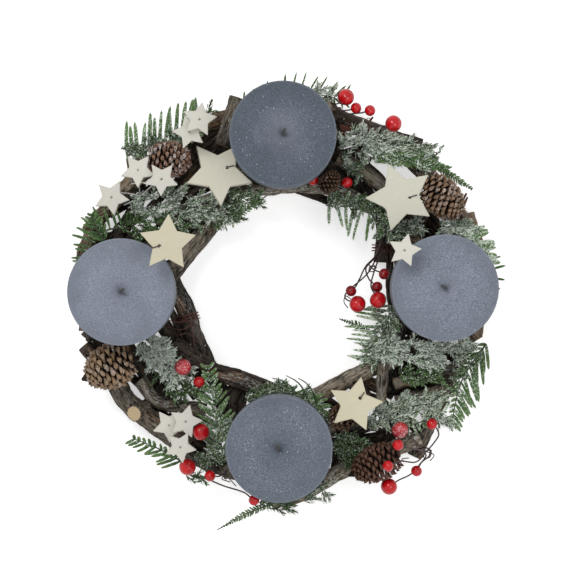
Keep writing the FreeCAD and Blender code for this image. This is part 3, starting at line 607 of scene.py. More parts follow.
# branches: place and width in pixels along each route, then its bark and how frosty it is
branches = {
    "lower": {
        "outer_north_west": ([(128, 167, 17), (158, 160, 18), (205, 126, 19), (262, 112, 17)],
                             barkBrown, 0.5),
        "outer_north_east": ([(296, 106, 17), (340, 119, 18), (380, 134, 18), (420, 148, 19)],
                             barkShade, 0.25),
        "outer_east": ([(466, 214, 17), (478, 262, 18), (474, 334, 18)], barkBrown, 0.3),
        "outer_south_east": ([(462, 352, 15), (434, 414, 15), (414, 456, 15)], barkGrey, 0.3),
        "outer_south_west": ([(154, 414, 18), (196, 456, 17), (246, 476, 15)], barkDark, 0.3),
        "outer_west": ([(100, 214, 15), (84, 262, 17), (88, 330, 18)], barkBrown, 0.2),
        "inner_east": ([(404, 197, 16), (400, 232, 17), (404, 290, 18), (394, 350, 18), (391, 392, 17)],
                       barkDark, 0.4),
        "inner_south": ([(262, 412, 16), (304, 406, 16), (336, 429, 16), (374, 424, 14)], barkDark, 0.3),
        "inner_north_west": ([(156, 223, 15), (222, 196, 14), (270, 189, 12), (310, 187, 11)], barkPale, 2.4),
    },
    "bound": {
        "inner_west": ([(164, 262, 20), (174, 287, 19), (185, 308, 19), (192, 330, 19), (210, 374, 22)],
                       barkDark, 0.6),
        "inner_north_east": ([(350, 148, 15), (360, 182, 15), (382, 222, 14), (381, 262, 14)], barkDark, 0.3),
    },
    "upper": {
        "rail_north_west": ([(233, 196, 20), (210, 226, 20), (192, 248, 19), (168, 279, 19)], barkGrey, 0.3),
        "rail_south_west": ([(174, 344, 17), (212, 370, 18), (240, 379, 18), (270, 391, 18), (308, 407, 18)],
                            barkShade, 0.5),
        "rail_south_east": ([(317, 396, 18), (355, 376, 17), (398, 357.5, 15.5)], barkPale, 0.5),
        "rail_north_east": ([(338, 158, 15), (366, 174, 15), (396, 200, 15), (428, 216, 15)], barkGrey, 0.4),
        "chord_north_east": ([(396, 138, 16), (411, 159, 17), (434, 183, 18), (466, 226, 18)],
                             barkBrown, 0.5),
        "chord_north_west": ([(88, 232, 15), (103, 214, 16), (128, 186, 17), (150, 168, 17), (178, 150, 16)],
                             barkBrown, 0.4),
        "chord_south_west": ([(104, 358, 19), (124, 397, 20), (148, 419, 21), (187, 447, 21)], barkGrey, 0.2),
        "chord_south_east": ([(272, 502, 15), (304, 493, 16), (344, 470, 17), (420, 438, 17)], barkPale, 2.6),
    },
    "seat": {
        "north": ([(333, 101, 17), (283, 134, 17), (216, 187, 15)], barkPale, 0.6),
        "west": ([(88, 339, 17), (120.5, 292, 17), (168, 220, 15)], barkDark, 0.2),
        "east": ([(476, 340, 17), (445.5, 288, 17), (402, 225, 16)], barkBrown, 0.4),
        "south": ([(222, 472, 16), (279, 449.5, 17), (334, 428, 17)], barkGrey, 0.4),
    },
    "short": [
        ([(238, 98, 17), (222, 145, 15)], 0.3),
        ([(300, 185, 16), (332, 188, 16), (375, 209, 15)], 2.2),
        ([(140, 380, 14), (160, 402, 14), (206, 410, 14)], 0.5),
        ([(396, 402, 13), (454, 386, 13)], 0.3),
        ([(394, 384, 13), (426, 375, 12), (463, 364, 11)], 0.5),
    ],
    "filling": [
        [(182, 192, 14), (200, 165, 15), (226, 145, 15), (262, 136, 14)],
        [(290, 136, 14), (320, 155, 14), (340, 176, 13), (342, 184, 13)],
        [(112, 243, 14), (128, 222, 15), (138, 202, 14), (140, 184, 13)],
        [(140, 300, 16), (162, 324, 16), (175, 347, 16), (186, 378, 15)],
        [(84, 346, 14), (98, 362, 15), (118, 384, 15)],
        [(122, 340, 15), (138, 362, 15), (152, 386, 14)],
        [(243, 377, 15), (230, 402, 16), (240, 430, 15)],
        [(172, 410, 13), (198, 428, 14), (220, 444, 13)],
        [(424, 208, 14), (436, 228, 15), (446, 254, 14)],
        [(421, 316, 15), (424, 344, 15), (430, 375, 14)],
        [(350, 378, 14), (362, 392, 15), (370, 406, 14)],
        [(410, 396, 13), (400, 412, 14), (392, 430, 14), (384, 447, 13)],
        [(336, 448, 14), (352, 449, 14), (370, 457, 13)],
        [(174, 243, 13), (189, 232, 13), (204, 227, 13)],
    ],
    "slender": [
        [(184, 176, 8), (197, 152, 10), (222, 136, 9)],
        [(184, 152, 8), (204, 139, 9), (224, 127, 8)],
        [(148, 210, 8), (162, 196, 9), (180, 178, 8), (190, 160, 6)],
        [(186, 195, 8), (202, 189, 11), (218, 182, 8)],
        [(170, 231, 8), (186, 223, 10), (200, 214, 8)],
        [(138, 197, 7), (151, 189, 10), (166, 182, 8)],
        [(110, 216, 6), (123, 206, 10), (138, 196, 8)],
        [(92, 248, 7), (106, 238, 9), (126, 232, 7)],
        [(124, 247, 7), (142, 239, 10), (162, 238, 7)],
        [(240, 170, 8), (252, 180, 10), (270, 184, 8)],
        [(310, 173, 7), (324, 173, 10), (334, 158, 7)],
        [(337, 108, 8), (341, 134, 10), (338, 156, 8)],
        [(352, 141, 8), (374, 150, 11), (400, 158, 9)],
        [(366, 164, 6), (379, 178, 10), (391, 193, 8)],
        [(296, 190, 6), (312, 195, 8), (332, 202, 7)],
        [(410, 216, 8), (424, 227, 12), (438, 238, 8)],
        [(392, 240, 6), (390, 262, 7), (389, 286, 7), (392, 314, 6)],
        [(170, 308, 7), (177, 324, 9), (186, 342, 7)],
        [(88, 337, 8), (99, 345, 11), (114, 352, 8)],
        [(140, 332, 8), (154, 340, 11), (168, 352, 8)],
        [(158, 352, 8), (176, 372, 9), (196, 398, 8)],
        [(150, 370, 8), (159, 388, 12), (166, 404, 8)],
        [(126, 372, 8), (138, 383, 9), (147, 394, 7)],
        [(146, 398, 8), (156, 408, 10), (168, 418, 8)],
        [(116, 384, 8), (134, 402, 9), (152, 424, 7)],
        [(188, 435, 8), (202, 446, 11), (216, 457, 8)],
        [(208, 378, 8), (222, 389, 12), (238, 400, 9)],
        [(247, 384, 8), (242, 401, 10), (238, 422, 8)],
        [(314, 396, 8), (330, 403, 10), (344, 412, 8)],
        [(356, 380, 9), (373, 385, 13), (393, 396, 9)],
        [(348, 431, 8), (362, 438, 10), (394, 434, 8)],
        [(333, 438, 6), (336, 456, 8), (333, 472, 7)],
        [(402, 321, 8), (412, 332, 11), (424, 342, 8)],
        [(408, 336, 9), (416, 352, 13), (414, 368, 12), (426, 382, 8)],
        [(392, 392, 8), (410, 388, 11), (430, 385, 9), (448, 380, 7)],
        [(428, 350, 9), (442, 352, 11), (454, 358, 8)],
        [(403, 417, 8), (414, 427, 10), (425, 440, 8)],
        [(168, 188, 8), (180, 197, 12), (192, 206, 8)],
        [(118, 240, 8), (133, 236, 10), (148, 234, 8)],
        [(356, 138, 7), (372, 142, 9), (388, 147, 7)],
        [(352, 148, 7), (361, 155, 9), (371, 160, 6)],
        [(330, 150, 7), (336, 157, 9), (341, 164, 7)],
        [(340, 168, 8), (349, 178, 10), (357, 190, 8)],
        [(438, 226, 7), (448, 232, 9), (457, 239, 7)],
        [(412, 228, 7), (422, 234, 9), (430, 240, 7)],
        [(364, 396, 7), (374, 398, 9), (384, 402, 7)],
        [(398, 344, 7), (405, 352, 9), (406, 366, 9), (404, 378, 7)],
        [(370, 423, 8), (381, 427, 11), (392, 430, 8)],
        [(350, 443, 7), (366, 446, 10), (382, 441, 7)],
        [(334, 457, 7), (346, 458, 9), (358, 456, 7)],
        [(382, 400, 7), (389, 409, 10), (396, 418, 7)],
        [(140, 344, 8), (148, 353, 10), (156, 364, 7)],
        [(161, 380, 8), (168, 392, 11), (172, 402, 8)],
        [(188, 363, 7), (196, 372, 10), (204, 380, 7)],
        [(190, 413, 8), (202, 418, 10), (212, 424, 8)],
        [(214, 390, 8), (222, 408, 12), (226, 426, 8)],
    ],
    "lowFrost": 0.15,
    "slenderRough": 0.5,
    "slenderHeight": (2 * mm, 8 * mm),      # underside and thickness
    "strips": [
        [(340, 126, 30.8), (352, 128, 31.2), (366, 124, 31), (373, 117, 30.6)],
        [(341, 129.5, 30.8), (355, 130, 31.3), (371, 131, 31)],
        [(338, 133, 30.6), (350, 134, 30.9), (364, 132.5, 30.6)],
        [(453, 213, 31), (460, 205, 33), (466.5, 193, 34)],
        [(455, 215, 31), (462, 208, 33), (467.5, 197, 34)],
    ],
    "stripReach": 1.5 * mm,
    "stripSides": 5,
    "twig": [(383, 364, 11), (381, 402, 11)],
    "twigHeight": 8 * mm,
    "twigFrost": 0.3,
    "smallRough": 0.6,
    "prunedStub": [(146, 407, 20), (139, 411, 25), (134.2, 413.8, 32)],
    "prunedRadius": 5.9 * mm,
    "prunedSeed": 50,
}
boundLow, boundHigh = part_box("branch_inner_west")
boundSlim = 14.5 * mm - (boundHigh.z - boundLow.z)      # the bound branches are slimmer by this
snowSpots = []


def between(values, share):
    # the value at a share of the way along an even row of values
    scale = share * (len(values) - 1)
    lower = min(int(scale), len(values) - 2)
    return values[lower] + (values[lower + 1] - values[lower]) * (scale - lower)


def barkDepth(along, angle, ring, shift, knots, rough):
    # how far the bark stands out at a place, how deep a crack it lies in and how high a lump
    lumpAlong, lumpRound = relief["lumps"]
    lumpPlace = Vector((along * lumpAlong, math.cos(angle) * lumpRound, math.sin(angle) * lumpRound))
    lump = noise.noise(lumpPlace + shift)
    crack = 1 - min(1, abs(noise.noise(ring * relief["cracks"] + shift)) * relief["crackEdge"])
    fine = noise.noise(ring * relief["fines"] + shift)
    depth = lump * relief["lumpDepth"] - crack * relief["crackDepth"] + fine * relief["fineDepth"]
    depth = (depth + relief["swell"]) * rough
    for place, turn, rise in knots:
        turned = math.remainder(angle - turn, 2 * math.pi) * relief["knotTurn"]
        away = ((along - place) / relief["knotReach"]) ** 2 + turned ** 2
        if away < relief["knotEdge"]:
            depth += rise * math.exp(-away) * mm
    return depth, crack, lump


def addSawnEnd(heap, row, edge, frost, first):
    # the end of a branch: a worn edge of bark, then cut wood
    point, heading, side, over = row
    heading = -heading if first else heading
    around, rings = len(edge), len(relief["capShares"])
    offsets = [corner - point for corner in edge]
    verts = list(edge)
    places = [(offset.dot(side) / mm, offset.dot(side) / mm, offset.dot(over) / mm) for offset in offsets]
    for size in relief["capShares"]:
        for offset in offsets:
            flat = point + offset * size
            saw = noise.noise(flat * relief["sawMarks"]) * relief["sawDepth"]
            verts.append(flat + heading * (relief["capRise"] + saw))
            places.append((0, (flat - point).dot(side) / mm, (flat - point).dot(over) / mm))
    verts.append(point + heading * relief["capMiddle"])
    places.append((0, 0, 0))
    last = rings * around
    faces = ringFaces(rings + 1, around)
    faces += [(last + corner, last + around, last + (corner + 1) % around) for corner in range(around)]
    if first:
        faces = [tuple(reversed(face)) for face in faces]
    slots = [0] * around + [1] * (len(faces) - around)
    drop(heap, verts, faces, (0.7, frost * 0.5, 0.5), slots, places)


def addBranch(heap, points, wide, high, seed, frost, rough=relief["rough"]):
    # a ridged bark tube along the points, with half width and half height at each of them
    walk, length = curved(points, relief["ringStep"])
    around = relief["around"]
    rng = random.Random(seed)
    shift = Vector([seed * share for share in relief["seedShift"]])
    knots = [(rng.uniform(*relief["knotPlaces"]) * length, rng.uniform(0, 2 * math.pi),
              rng.uniform(*relief["knotRises"])) for unused in range(relief["knots"])]
    rows = frames(walk)
    verts, tints, places = [], [], []
    for index, (point, heading, side, over) in enumerate(rows):
        share = index / (len(rows) - 1)
        along = share * length
        halfWide, halfHigh = between(wide, share), between(high, share)
        for corner in range(around):
            angle = 2 * math.pi * corner / around
            cos, sin = math.cos(angle), math.sin(angle)
            ring = Vector((along * relief["grainRun"], halfWide * cos, halfWide * sin)) / mm
            depth, crack, lump = barkDepth(along, angle, ring, shift, knots, rough)
            outwards = (side * cos / halfWide + over * sin / halfHigh).normalized()
            place = point + side * halfWide * cos + over * halfHigh * sin + outwards * depth
            place.z = max(place.z, 0.0)
            verts.append(place)
            # the tint carries where the cracks lie, for their painted shade, then the frost and the lumps
            tints.append((1 - crack, frost, 0.5 + lump / 2))
            places.append(ring + shift)
            upper = outwards.z > relief["snowSlope"] and frost > 0
            if upper and rng.random() < relief["snowShare"] * frost:
                if noise.noise(place * relief["snowDrift"]) > 0:
                    snowSpots.append(place.copy())
    drop(heap, verts, ringFaces(len(rows), around), tints, 0, places)
    for end in (0, len(rows) - 1):
        addSawnEnd(heap, rows[end], verts[end * around:(end + 1) * around], frost, end == 0)


def branchShape(route, bottom, thick):
    points = [spot(x, y, bottom + thick / 2) for x, y, width in route]
    wide = [width * view["pixelSize"] / 2 for x, y, width in route]
    return points, wide, [thick / 2] * len(route)


def makeBranches():
    thick = lowerTop
    upperBottom = deckTop - thick
    seed = 1
    layers = (("lower", 0.0, thick, "branch_"), ("bound", boundSlim, thick - boundSlim, "branch_"),
              ("upper", upperBottom, thick, "branch_"), ("seat", upperBottom, thick, "seat_branch_"))
    for layer, bottom, high, prefix in layers:
        for name, (route, bark, frost) in branches[layer].items():
            heap = newHeap()
            addBranch(heap, *branchShape(route, bottom, high), seed, frost)
            if name == "chord_south_west":
                radii = [branches["prunedRadius"]] * len(branches["prunedStub"])
                stubSeed = seed + branches["prunedSeed"]
                stub = spots(branches["prunedStub"])
                addBranch(heap, stub, radii, radii, stubSeed, 0.0, branches["smallRough"])
            piece = pieceOf(heap, "bark_" + prefix.replace("branch_", "") + name, [bark, cutWood])
            handIn(piece, "ring", "bark", prefix + name)
            seed += 1
    heap = newHeap()
    for route, frost in branches["short"]:
        addBranch(heap, *branchShape(route, upperBottom, thick), seed, frost)
        seed += 1
    twig = branchShape(branches["twig"], deckTop + seatGap, branches["twigHeight"])
    addBranch(heap, *twig, seed, branches["twigFrost"], branches["smallRough"])
    handIn(pieceOf(heap, "bark_short_pieces", [barkGrey, cutWood]), "ring", "bark", "short_branches")
    heap = newHeap()
    for route in branches["filling"]:
        seed += 1
        addBranch(heap, *branchShape(route, 0.0, thick), seed, branches["lowFrost"])
    for route in branches["slender"]:
        seed += 1
        twig = branchShape(route, *branches["slenderHeight"])
        addBranch(heap, *twig, seed, branches["lowFrost"], branches["slenderRough"])
    # the low pieces in the gaps take barkShade, whose darkness is painted shade
    handIn(pieceOf(heap, "bark_low_pieces", [barkShade, cutWood]), "ring", "bark", "short_branches")
    heap = newHeap()
    for strip in branches["strips"]:
        addTube(heap, spots(strip), branches["stripReach"], branches["stripSides"],
                tint=(0.7, 0.2, 0.5), tip=0.5)
    handIn(pieceOf(heap, "bark_strips", [barkRed]), "ring", "bark")


makeBranches()
print("branches laid")


# candles: colour of the wax, colour and share of a second tone in the middle of the top, glitter, contrast,
# lean of the wick
candles = {
    "segments": 112,
    "edge": 0.9 * mm,
    "footEdge": 0.8 * mm,
    "footShares": (0.3, 0.6, 0.9),
    "dome": 2.6 * mm,
    "domePower": 1.6,
    "dip": 1.7 * mm,
    "dipReach": 6.0 * mm,
    "dipShares": (1.0, 0.75, 0.5, 0.3),
    "wallRings": 22,
    "edgeRings": 6,
    "domeRings": 30,
    "spikeHole": (2.1 * mm, 12.1 * mm),     # radius and depth
    "finePits": (260, 0.1 * mm),            # noise scale and depth
    "widePits": (60, 0.14 * mm),
    "topPits": 0.8,
    "smoothReach": 3 * mm,                  # no pits this close to the wick
    "weld": 0.01 * mm,
    "north": ((0.092, 0.114, 0.146), (0.2, 0.208, 0.255), 0.6, 0.5, 1.6, (0.3, 0.8)),
    "west": ((0.225, 0.253, 0.313), (0.15, 0.162, 0.212), 0.65, 0.08, 0.9, (0.6, 0.5)),
    "east": ((0.198, 0.226, 0.28), (0.18, 0.193, 0.24), 0.5, 0.1, 1.2, (-0.7, 0.4)),
    "south": ((0.142, 0.168, 0.21), (0.07, 0.086, 0.11), 0.75, 0.4, 1.5, (-0.4, 0.7)),
}
wicks = {
    "radius": 1.1 * mm,
    "lean": 4.6 * mm,
    "root": 4 * mm,
    "start": 0.5 * mm,
    "bow": 0.5 * mm,
    "bowShare": 0.55,
    "spacing": 0.3 * mm,
    "sides": 14,
    "braid": 0.16,
    "braidTurns": 1.5,
    "braidPitch": 0.55,
}


def candleOutline(foot, top):
    # the turned outline: reach, height, share of the painted rim highlight, and whether it is foot or wall
    edge, dip, dipReach = candles["edge"], candles["dip"], candles["dipReach"]
    holeReach, holeDepth = candles["spikeHole"]
    outline = [(0.0, foot + holeDepth, 0, True), (holeReach, foot + holeDepth, 0, True),
               (holeReach, foot, 0, True)]
    outline += [(candleReach * share, foot, 0, True) for share in candles["footShares"]]
    outline.append((candleReach - candles["footEdge"], foot, 0.3, True))
    outline.append((candleReach, foot + candles["footEdge"], 0.5, True))
    shoulder = top - candles["dome"] - edge
    rings = candles["wallRings"]
    outline += [(candleReach, foot + (shoulder - foot) * part / rings, 0, True) for part in range(1, rings)]
    rings = candles["edgeRings"]
    for part in range(rings + 1):
        angle = math.pi / 2 * part / rings
        rimHighlightShare = 1.0 if 0 < part < rings else 0.4
        reach = candleReach - edge + edge * math.cos(angle)
        outline.append((reach, shoulder + edge * math.sin(angle), rimHighlightShare, False))
    rings = candles["domeRings"]
    for part in range(1, rings):
        share = 1 - part / rings
        reach = dipReach + (candleReach - edge - dipReach) * share
        outline.append((reach, top - candles["dome"] * share ** candles["domePower"], 0, False))
    outline += [(dipReach * share, top - dip * (1 - share ** 2), 0, False) for share in candles["dipShares"]]
    outline.append((wicks["radius"] * 1.05, top - dip * 0.55, 0, False))
    outline.append((0.0, top - dip * 0.5, 0, False))
    return outline


def makeWax(side, seed):
    foot, top = [corner.z for corner in candleBoxes[side]]
    middle = candleMiddles[side]
    outline = candleOutline(foot, top)
    segments = candles["segments"]
    fineScale, fineDepth = candles["finePits"]
    wideScale, wideDepth = candles["widePits"]
    verts, tints = [], []
    for reach, height, rimHighlightShare, wall in outline:
        for corner in range(segments):
            angle = 2 * math.pi * corner / segments
            cos, sin = math.cos(angle), math.sin(angle)
            point = Vector((middle.x + reach * cos, middle.y + reach * sin, height))
            fine = noise.noise(point * fineScale + Vector((seed, 0, 0))) * fineDepth
            pit = abs(fine + noise.noise(point * wideScale) * wideDepth)
            if reach > candles["smoothReach"] and wall:
                point -= Vector((cos, sin, 0)) * pit
            elif reach > candles["smoothReach"]:
                point.z -= pit * candles["topPits"]
            verts.append(point)
            tints.append((rimHighlightShare, reach / candleReach, 1.0 if wall else 0.0))
    heap = newHeap()
    drop(heap, verts, ringFaces(len(outline), segments, flip=True), tints)
    piece = pieceOf(heap, "wax_candle_" + side, [waxFinish("wax_" + side, *candles[side][:-1])], 40)
    weld(piece, candles["weld"])
    handIn(piece, "candle_" + side + "_lift", "candle_wax", "candle_" + side)


def makeWick(side):
    # a braided cord that leans out of the dip, and thins out over its last three rings
    middle = candleMiddles[side]
    top = candleBoxes[side][1].z
    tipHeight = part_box("wick_" + side)[1].z
    leanX, leanY = candles[side][-1]
    base = Vector((middle.x, middle.y, top - wicks["root"]))
    start = Vector((middle.x, middle.y, top - wicks["start"]))
    tip = Vector((middle.x + wicks["lean"] * leanX, middle.y + wicks["lean"] * leanY, tipHeight))
    bow = start.lerp(tip, wicks["bowShare"]) - Vector((leanX, leanY, 0)) * wicks["bow"]
    walk = curved([base, start, bow, tip], wicks["spacing"])[0]
    verts = []
    for index, (point, heading, across, over) in enumerate(frames(walk)):
        for corner in range(wicks["sides"]):
            angle = 2 * math.pi * corner / wicks["sides"]
            strand = abs(math.sin(wicks["braidTurns"] * angle + index * wicks["braidPitch"]))
            reach = wicks["radius"] * (1 - wicks["braid"] + wicks["braid"] * strand)
            if index > len(walk) - 4:
                reach *= 0.92 - 0.12 * (index - len(walk) + 4)
            verts.append(point + across * reach * math.cos(angle) + over * reach * math.sin(angle))
    heap = newHeap()
    drop(heap, verts, tubeFaces(len(walk), wicks["sides"]), (0.5, 0.5, 0.5))
    piece = pieceOf(heap, "braided_wick_" + side, [wickCotton])
    handIn(piece, "candle_" + side + "_lift", "wick", "wick_" + side)


wickCotton = wireFinish("wickCotton", (0.075, 0.078, 0.072), 0.7, 0.0)
panSteel = steelFinish()
for number, sideName in enumerate(candleBoxes):
    makeWax(sideName, number * 9.1)
    makeWick(sideName)
    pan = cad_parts["pan_" + sideName]
    pan.data.materials.clear()
    pan.data.materials.append(panSteel)
print("candles poured")


# fir: sprays are combs of long needles on a stem, and bushes of short frosted sprigs
fir = {
    "firstSeed": 100,
    "stemRadius": 0.7 * mm,
    "needleWidth": 1.7 * mm,
    "combPitch": 1.9 * mm,
    "sharpShares": ((0.0, 0.5), (0.35, 1.0), (0.8, 0.8)),                   # width along a needle
    "bluntShares": ((0.0, 0.5), (0.3, 1.0), (0.72, 0.95), (0.93, 0.62)),
    "rib": 0.16,                    # shares of the needle's width
    "keel": 0.12,
    "grains": 2.1,                  # frost grains on a needle at full frost
    "grainSizes": (0.25 * mm, 0.5 * mm),
    "thick": 1.2,                   # more sprigs than the table counts
    "sprigWidths": (1.0 * mm, 1.45 * mm),
    "sprigStem": 0.35 * mm,
    "sprigLengths": (6 * mm, 10 * mm),
    "sprigNeedles": (3.6 * mm, 5.4 * mm),
    "sprigCounts": (10, 14),
    "sprigRoot": 3 * mm,
    "strandRadius": 0.85 * mm,
    "longestOver": 9 * mm,          # needles over the stem
    "comb": {"pitch": 1.0, "width": 1.0, "taper": 0.45, "sweep": 30, "lift": 0, "curl": 0, "over": 0.6,
             "tone": (0.2, 0.9), "frost": 0.3, "blunt": False},
    "bush": {"tone": (0.1, 0.9), "frost": 1.0},
}


def addNeedle(heap, base, heading, face, length, width, tone, frost, curl, rng, blunt=False):
    # a flat needle with a raised rib, bent along its length
    def bent(along):
        return base + heading * length * along + curl * length * along ** 2

    across = heading.cross(face)
    if across.length < 0.1:
        across = heading.cross(Vector((1, 0, 0)))
    across.normalize()
    top = across.cross(heading).normalized()
    verts, tints = [], []
    shares = fir["bluntShares"] if blunt else fir["sharpShares"]
    rib, keel = width * fir["rib"], -width * fir["keel"]
    for along, wide in shares:
        middle = held(bent(along))
        half = width / 2 * wide
        for sideways, lift in ((-half, 0.0), (0.0, rib), (half, 0.0), (0.0, keel)):
            verts.append(middle + across * sideways + top * lift)
            tints.append((tone, along, frost * 1.2 + 0.12 if sideways else frost * 0.75))
    verts.append(held(bent(1.0)))
    tints.append((tone, 1.0, frost))
    last = 4 * (len(shares) - 1)
    faces = [(3, 2, 1, 0), *ringFaces(len(shares), 4, flip=True)]
    faces += [(last + corner, last + (corner + 1) % 4, last + 4) for corner in range(4)]
    drop(heap, verts, faces, tints)
    grainsLeft = frost * fir["grains"]
    while grainsLeft > rng.random():
        grainsLeft -= 1
        lying = bent(rng.uniform(0.15, 1.0)) + across * rng.uniform(-0.4, 0.4) * width + top * width * 0.15
        addGrain(heap, held(lying), rng.uniform(*fir["grainSizes"]), rng, 1)


def addComb(heap, row, rng):
    # long needles in two rows, and some over the stem
    row = {**fir["comb"], **row}
    walk, length = curved(spots(row["stem"], deckTop), 1.0 * mm)
    stem = [held(walk[0]), held(walk[len(walk) // 2]), held(walk[-1])]
    addTube(heap, stem, fir["stemRadius"], 6, 2, tip=0.5)
    rows = frames(walk)
    count = max(3, round(length / (row["pitch"] * fir["combPitch"])))
    width = row["width"] * fir["needleWidth"]
    for index in range(count + 1):
        share = index / count
        point, heading, side = rows[round(share * (len(rows) - 1))][:3]
        size = (0.7 + 0.3 * math.sin(math.pi * min(1, share * 1.3))) * (1 - row["taper"] * share ** 3)
        if "even" in row:
            size = 1 + row["even"] * share
        for sign, reach in ((-1, row["left"]), (1, row["right"])):
            sweep = math.radians(row["sweep"] + rng.uniform(-7, 7))
            lift = rng.uniform(-0.05, 0.22) + row["lift"]
            outwards = side * sign * math.cos(sweep) + heading * math.sin(sweep)
            direction = (outwards + upward * lift).normalized()
            needleLength = reach * view["pixelSize"] * size * rng.uniform(0.82, 1.08)
            curl = heading * rng.uniform(0.0, 0.12) + upward * rng.uniform(-0.16, 0.02)
            curl += heading * row["curl"]
            addNeedle(heap, point, direction, upward, needleLength, width * rng.uniform(0.85, 1.1),
                      rng.uniform(*row["tone"]), row["frost"] * rng.uniform(0.5, 1.4), curl, rng,
                      row["blunt"])
        if rng.random() < row["over"]:
            sign = rng.choice((-1, 1))
            reach = max(row["left"], row["right"]) * 0.55 * view["pixelSize"] * size
            leaning = heading * 0.9 + side * sign * rng.uniform(0.2, 0.9) + upward * rng.uniform(0.2, 0.5)
            needleLength = min(reach, fir["longestOver"]) * rng.uniform(0.7, 1.1)
            addNeedle(heap, point + upward * 0.3 * mm, leaning.normalized(), upward, needleLength,
                      width * 0.9, rng.uniform(0.1, 0.8), row["frost"] * 1.3, upward * -0.1, rng)


def addSprig(heap, base, heading, length, needleLength, count, tone, frost, rng):
    # a short shoot with needles all round
    addTube(heap, [held(base), held(base + heading * length)], fir["sprigStem"], 5, 2, tip=0.6)
    side = heading.cross(upward).normalized()
    over = side.cross(heading)
    turn = rng.uniform(0, 6.28)
    for index in range(count):
        share = (index + 0.4) / count
        angle = turn + index * goldenTurn
        outwards = side * math.cos(angle) + over * math.sin(angle)
        opened = math.radians(rng.uniform(32, 58) * (1 - 0.45 * share))
        direction = heading * math.cos(opened) + outwards * math.sin(opened)
        reach = needleLength * (1 - 0.35 * share) * rng.uniform(0.8, 1.15)
        width = rng.uniform(*fir["sprigWidths"])
        addNeedle(heap, base + heading * length * share, direction, outwards, reach, width,
                  tone * rng.uniform(0.5, 1.4), frost * rng.uniform(0.25, 1.35), heading * 0.12, rng)


def addBush(heap, row, rng):
    # many sprigs along a line, heading about along it
    row = {**fir["bush"], **row}
    rows = frames(curved(spots(row["line"], deckTop), 1.0 * mm)[0])
    spread = row["spread"] * view["pixelSize"]
    for unused in range(round(row["count"] * fir["thick"])):
        point, heading, side = rows[rng.randrange(len(rows))][:3]
        off = rng.uniform(-1, 1)
        base = point + side * spread * off * 0.8 + upward * rng.uniform(-2.5, 3.5) * mm
        fan = off * 0.9 + rng.uniform(-1.0, 1.0)
        flat = (heading * math.cos(fan) + side * math.sin(fan)).normalized()
        direction = (flat + upward * rng.uniform(0.0, 0.45)).normalized()
        addSprig(heap, base - flat * fir["sprigRoot"], direction, rng.uniform(*fir["sprigLengths"]),
                 rng.uniform(*fir["sprigNeedles"]), rng.randint(*fir["sprigCounts"]),
                 rng.uniform(*row["tone"]), row["frost"], rng)


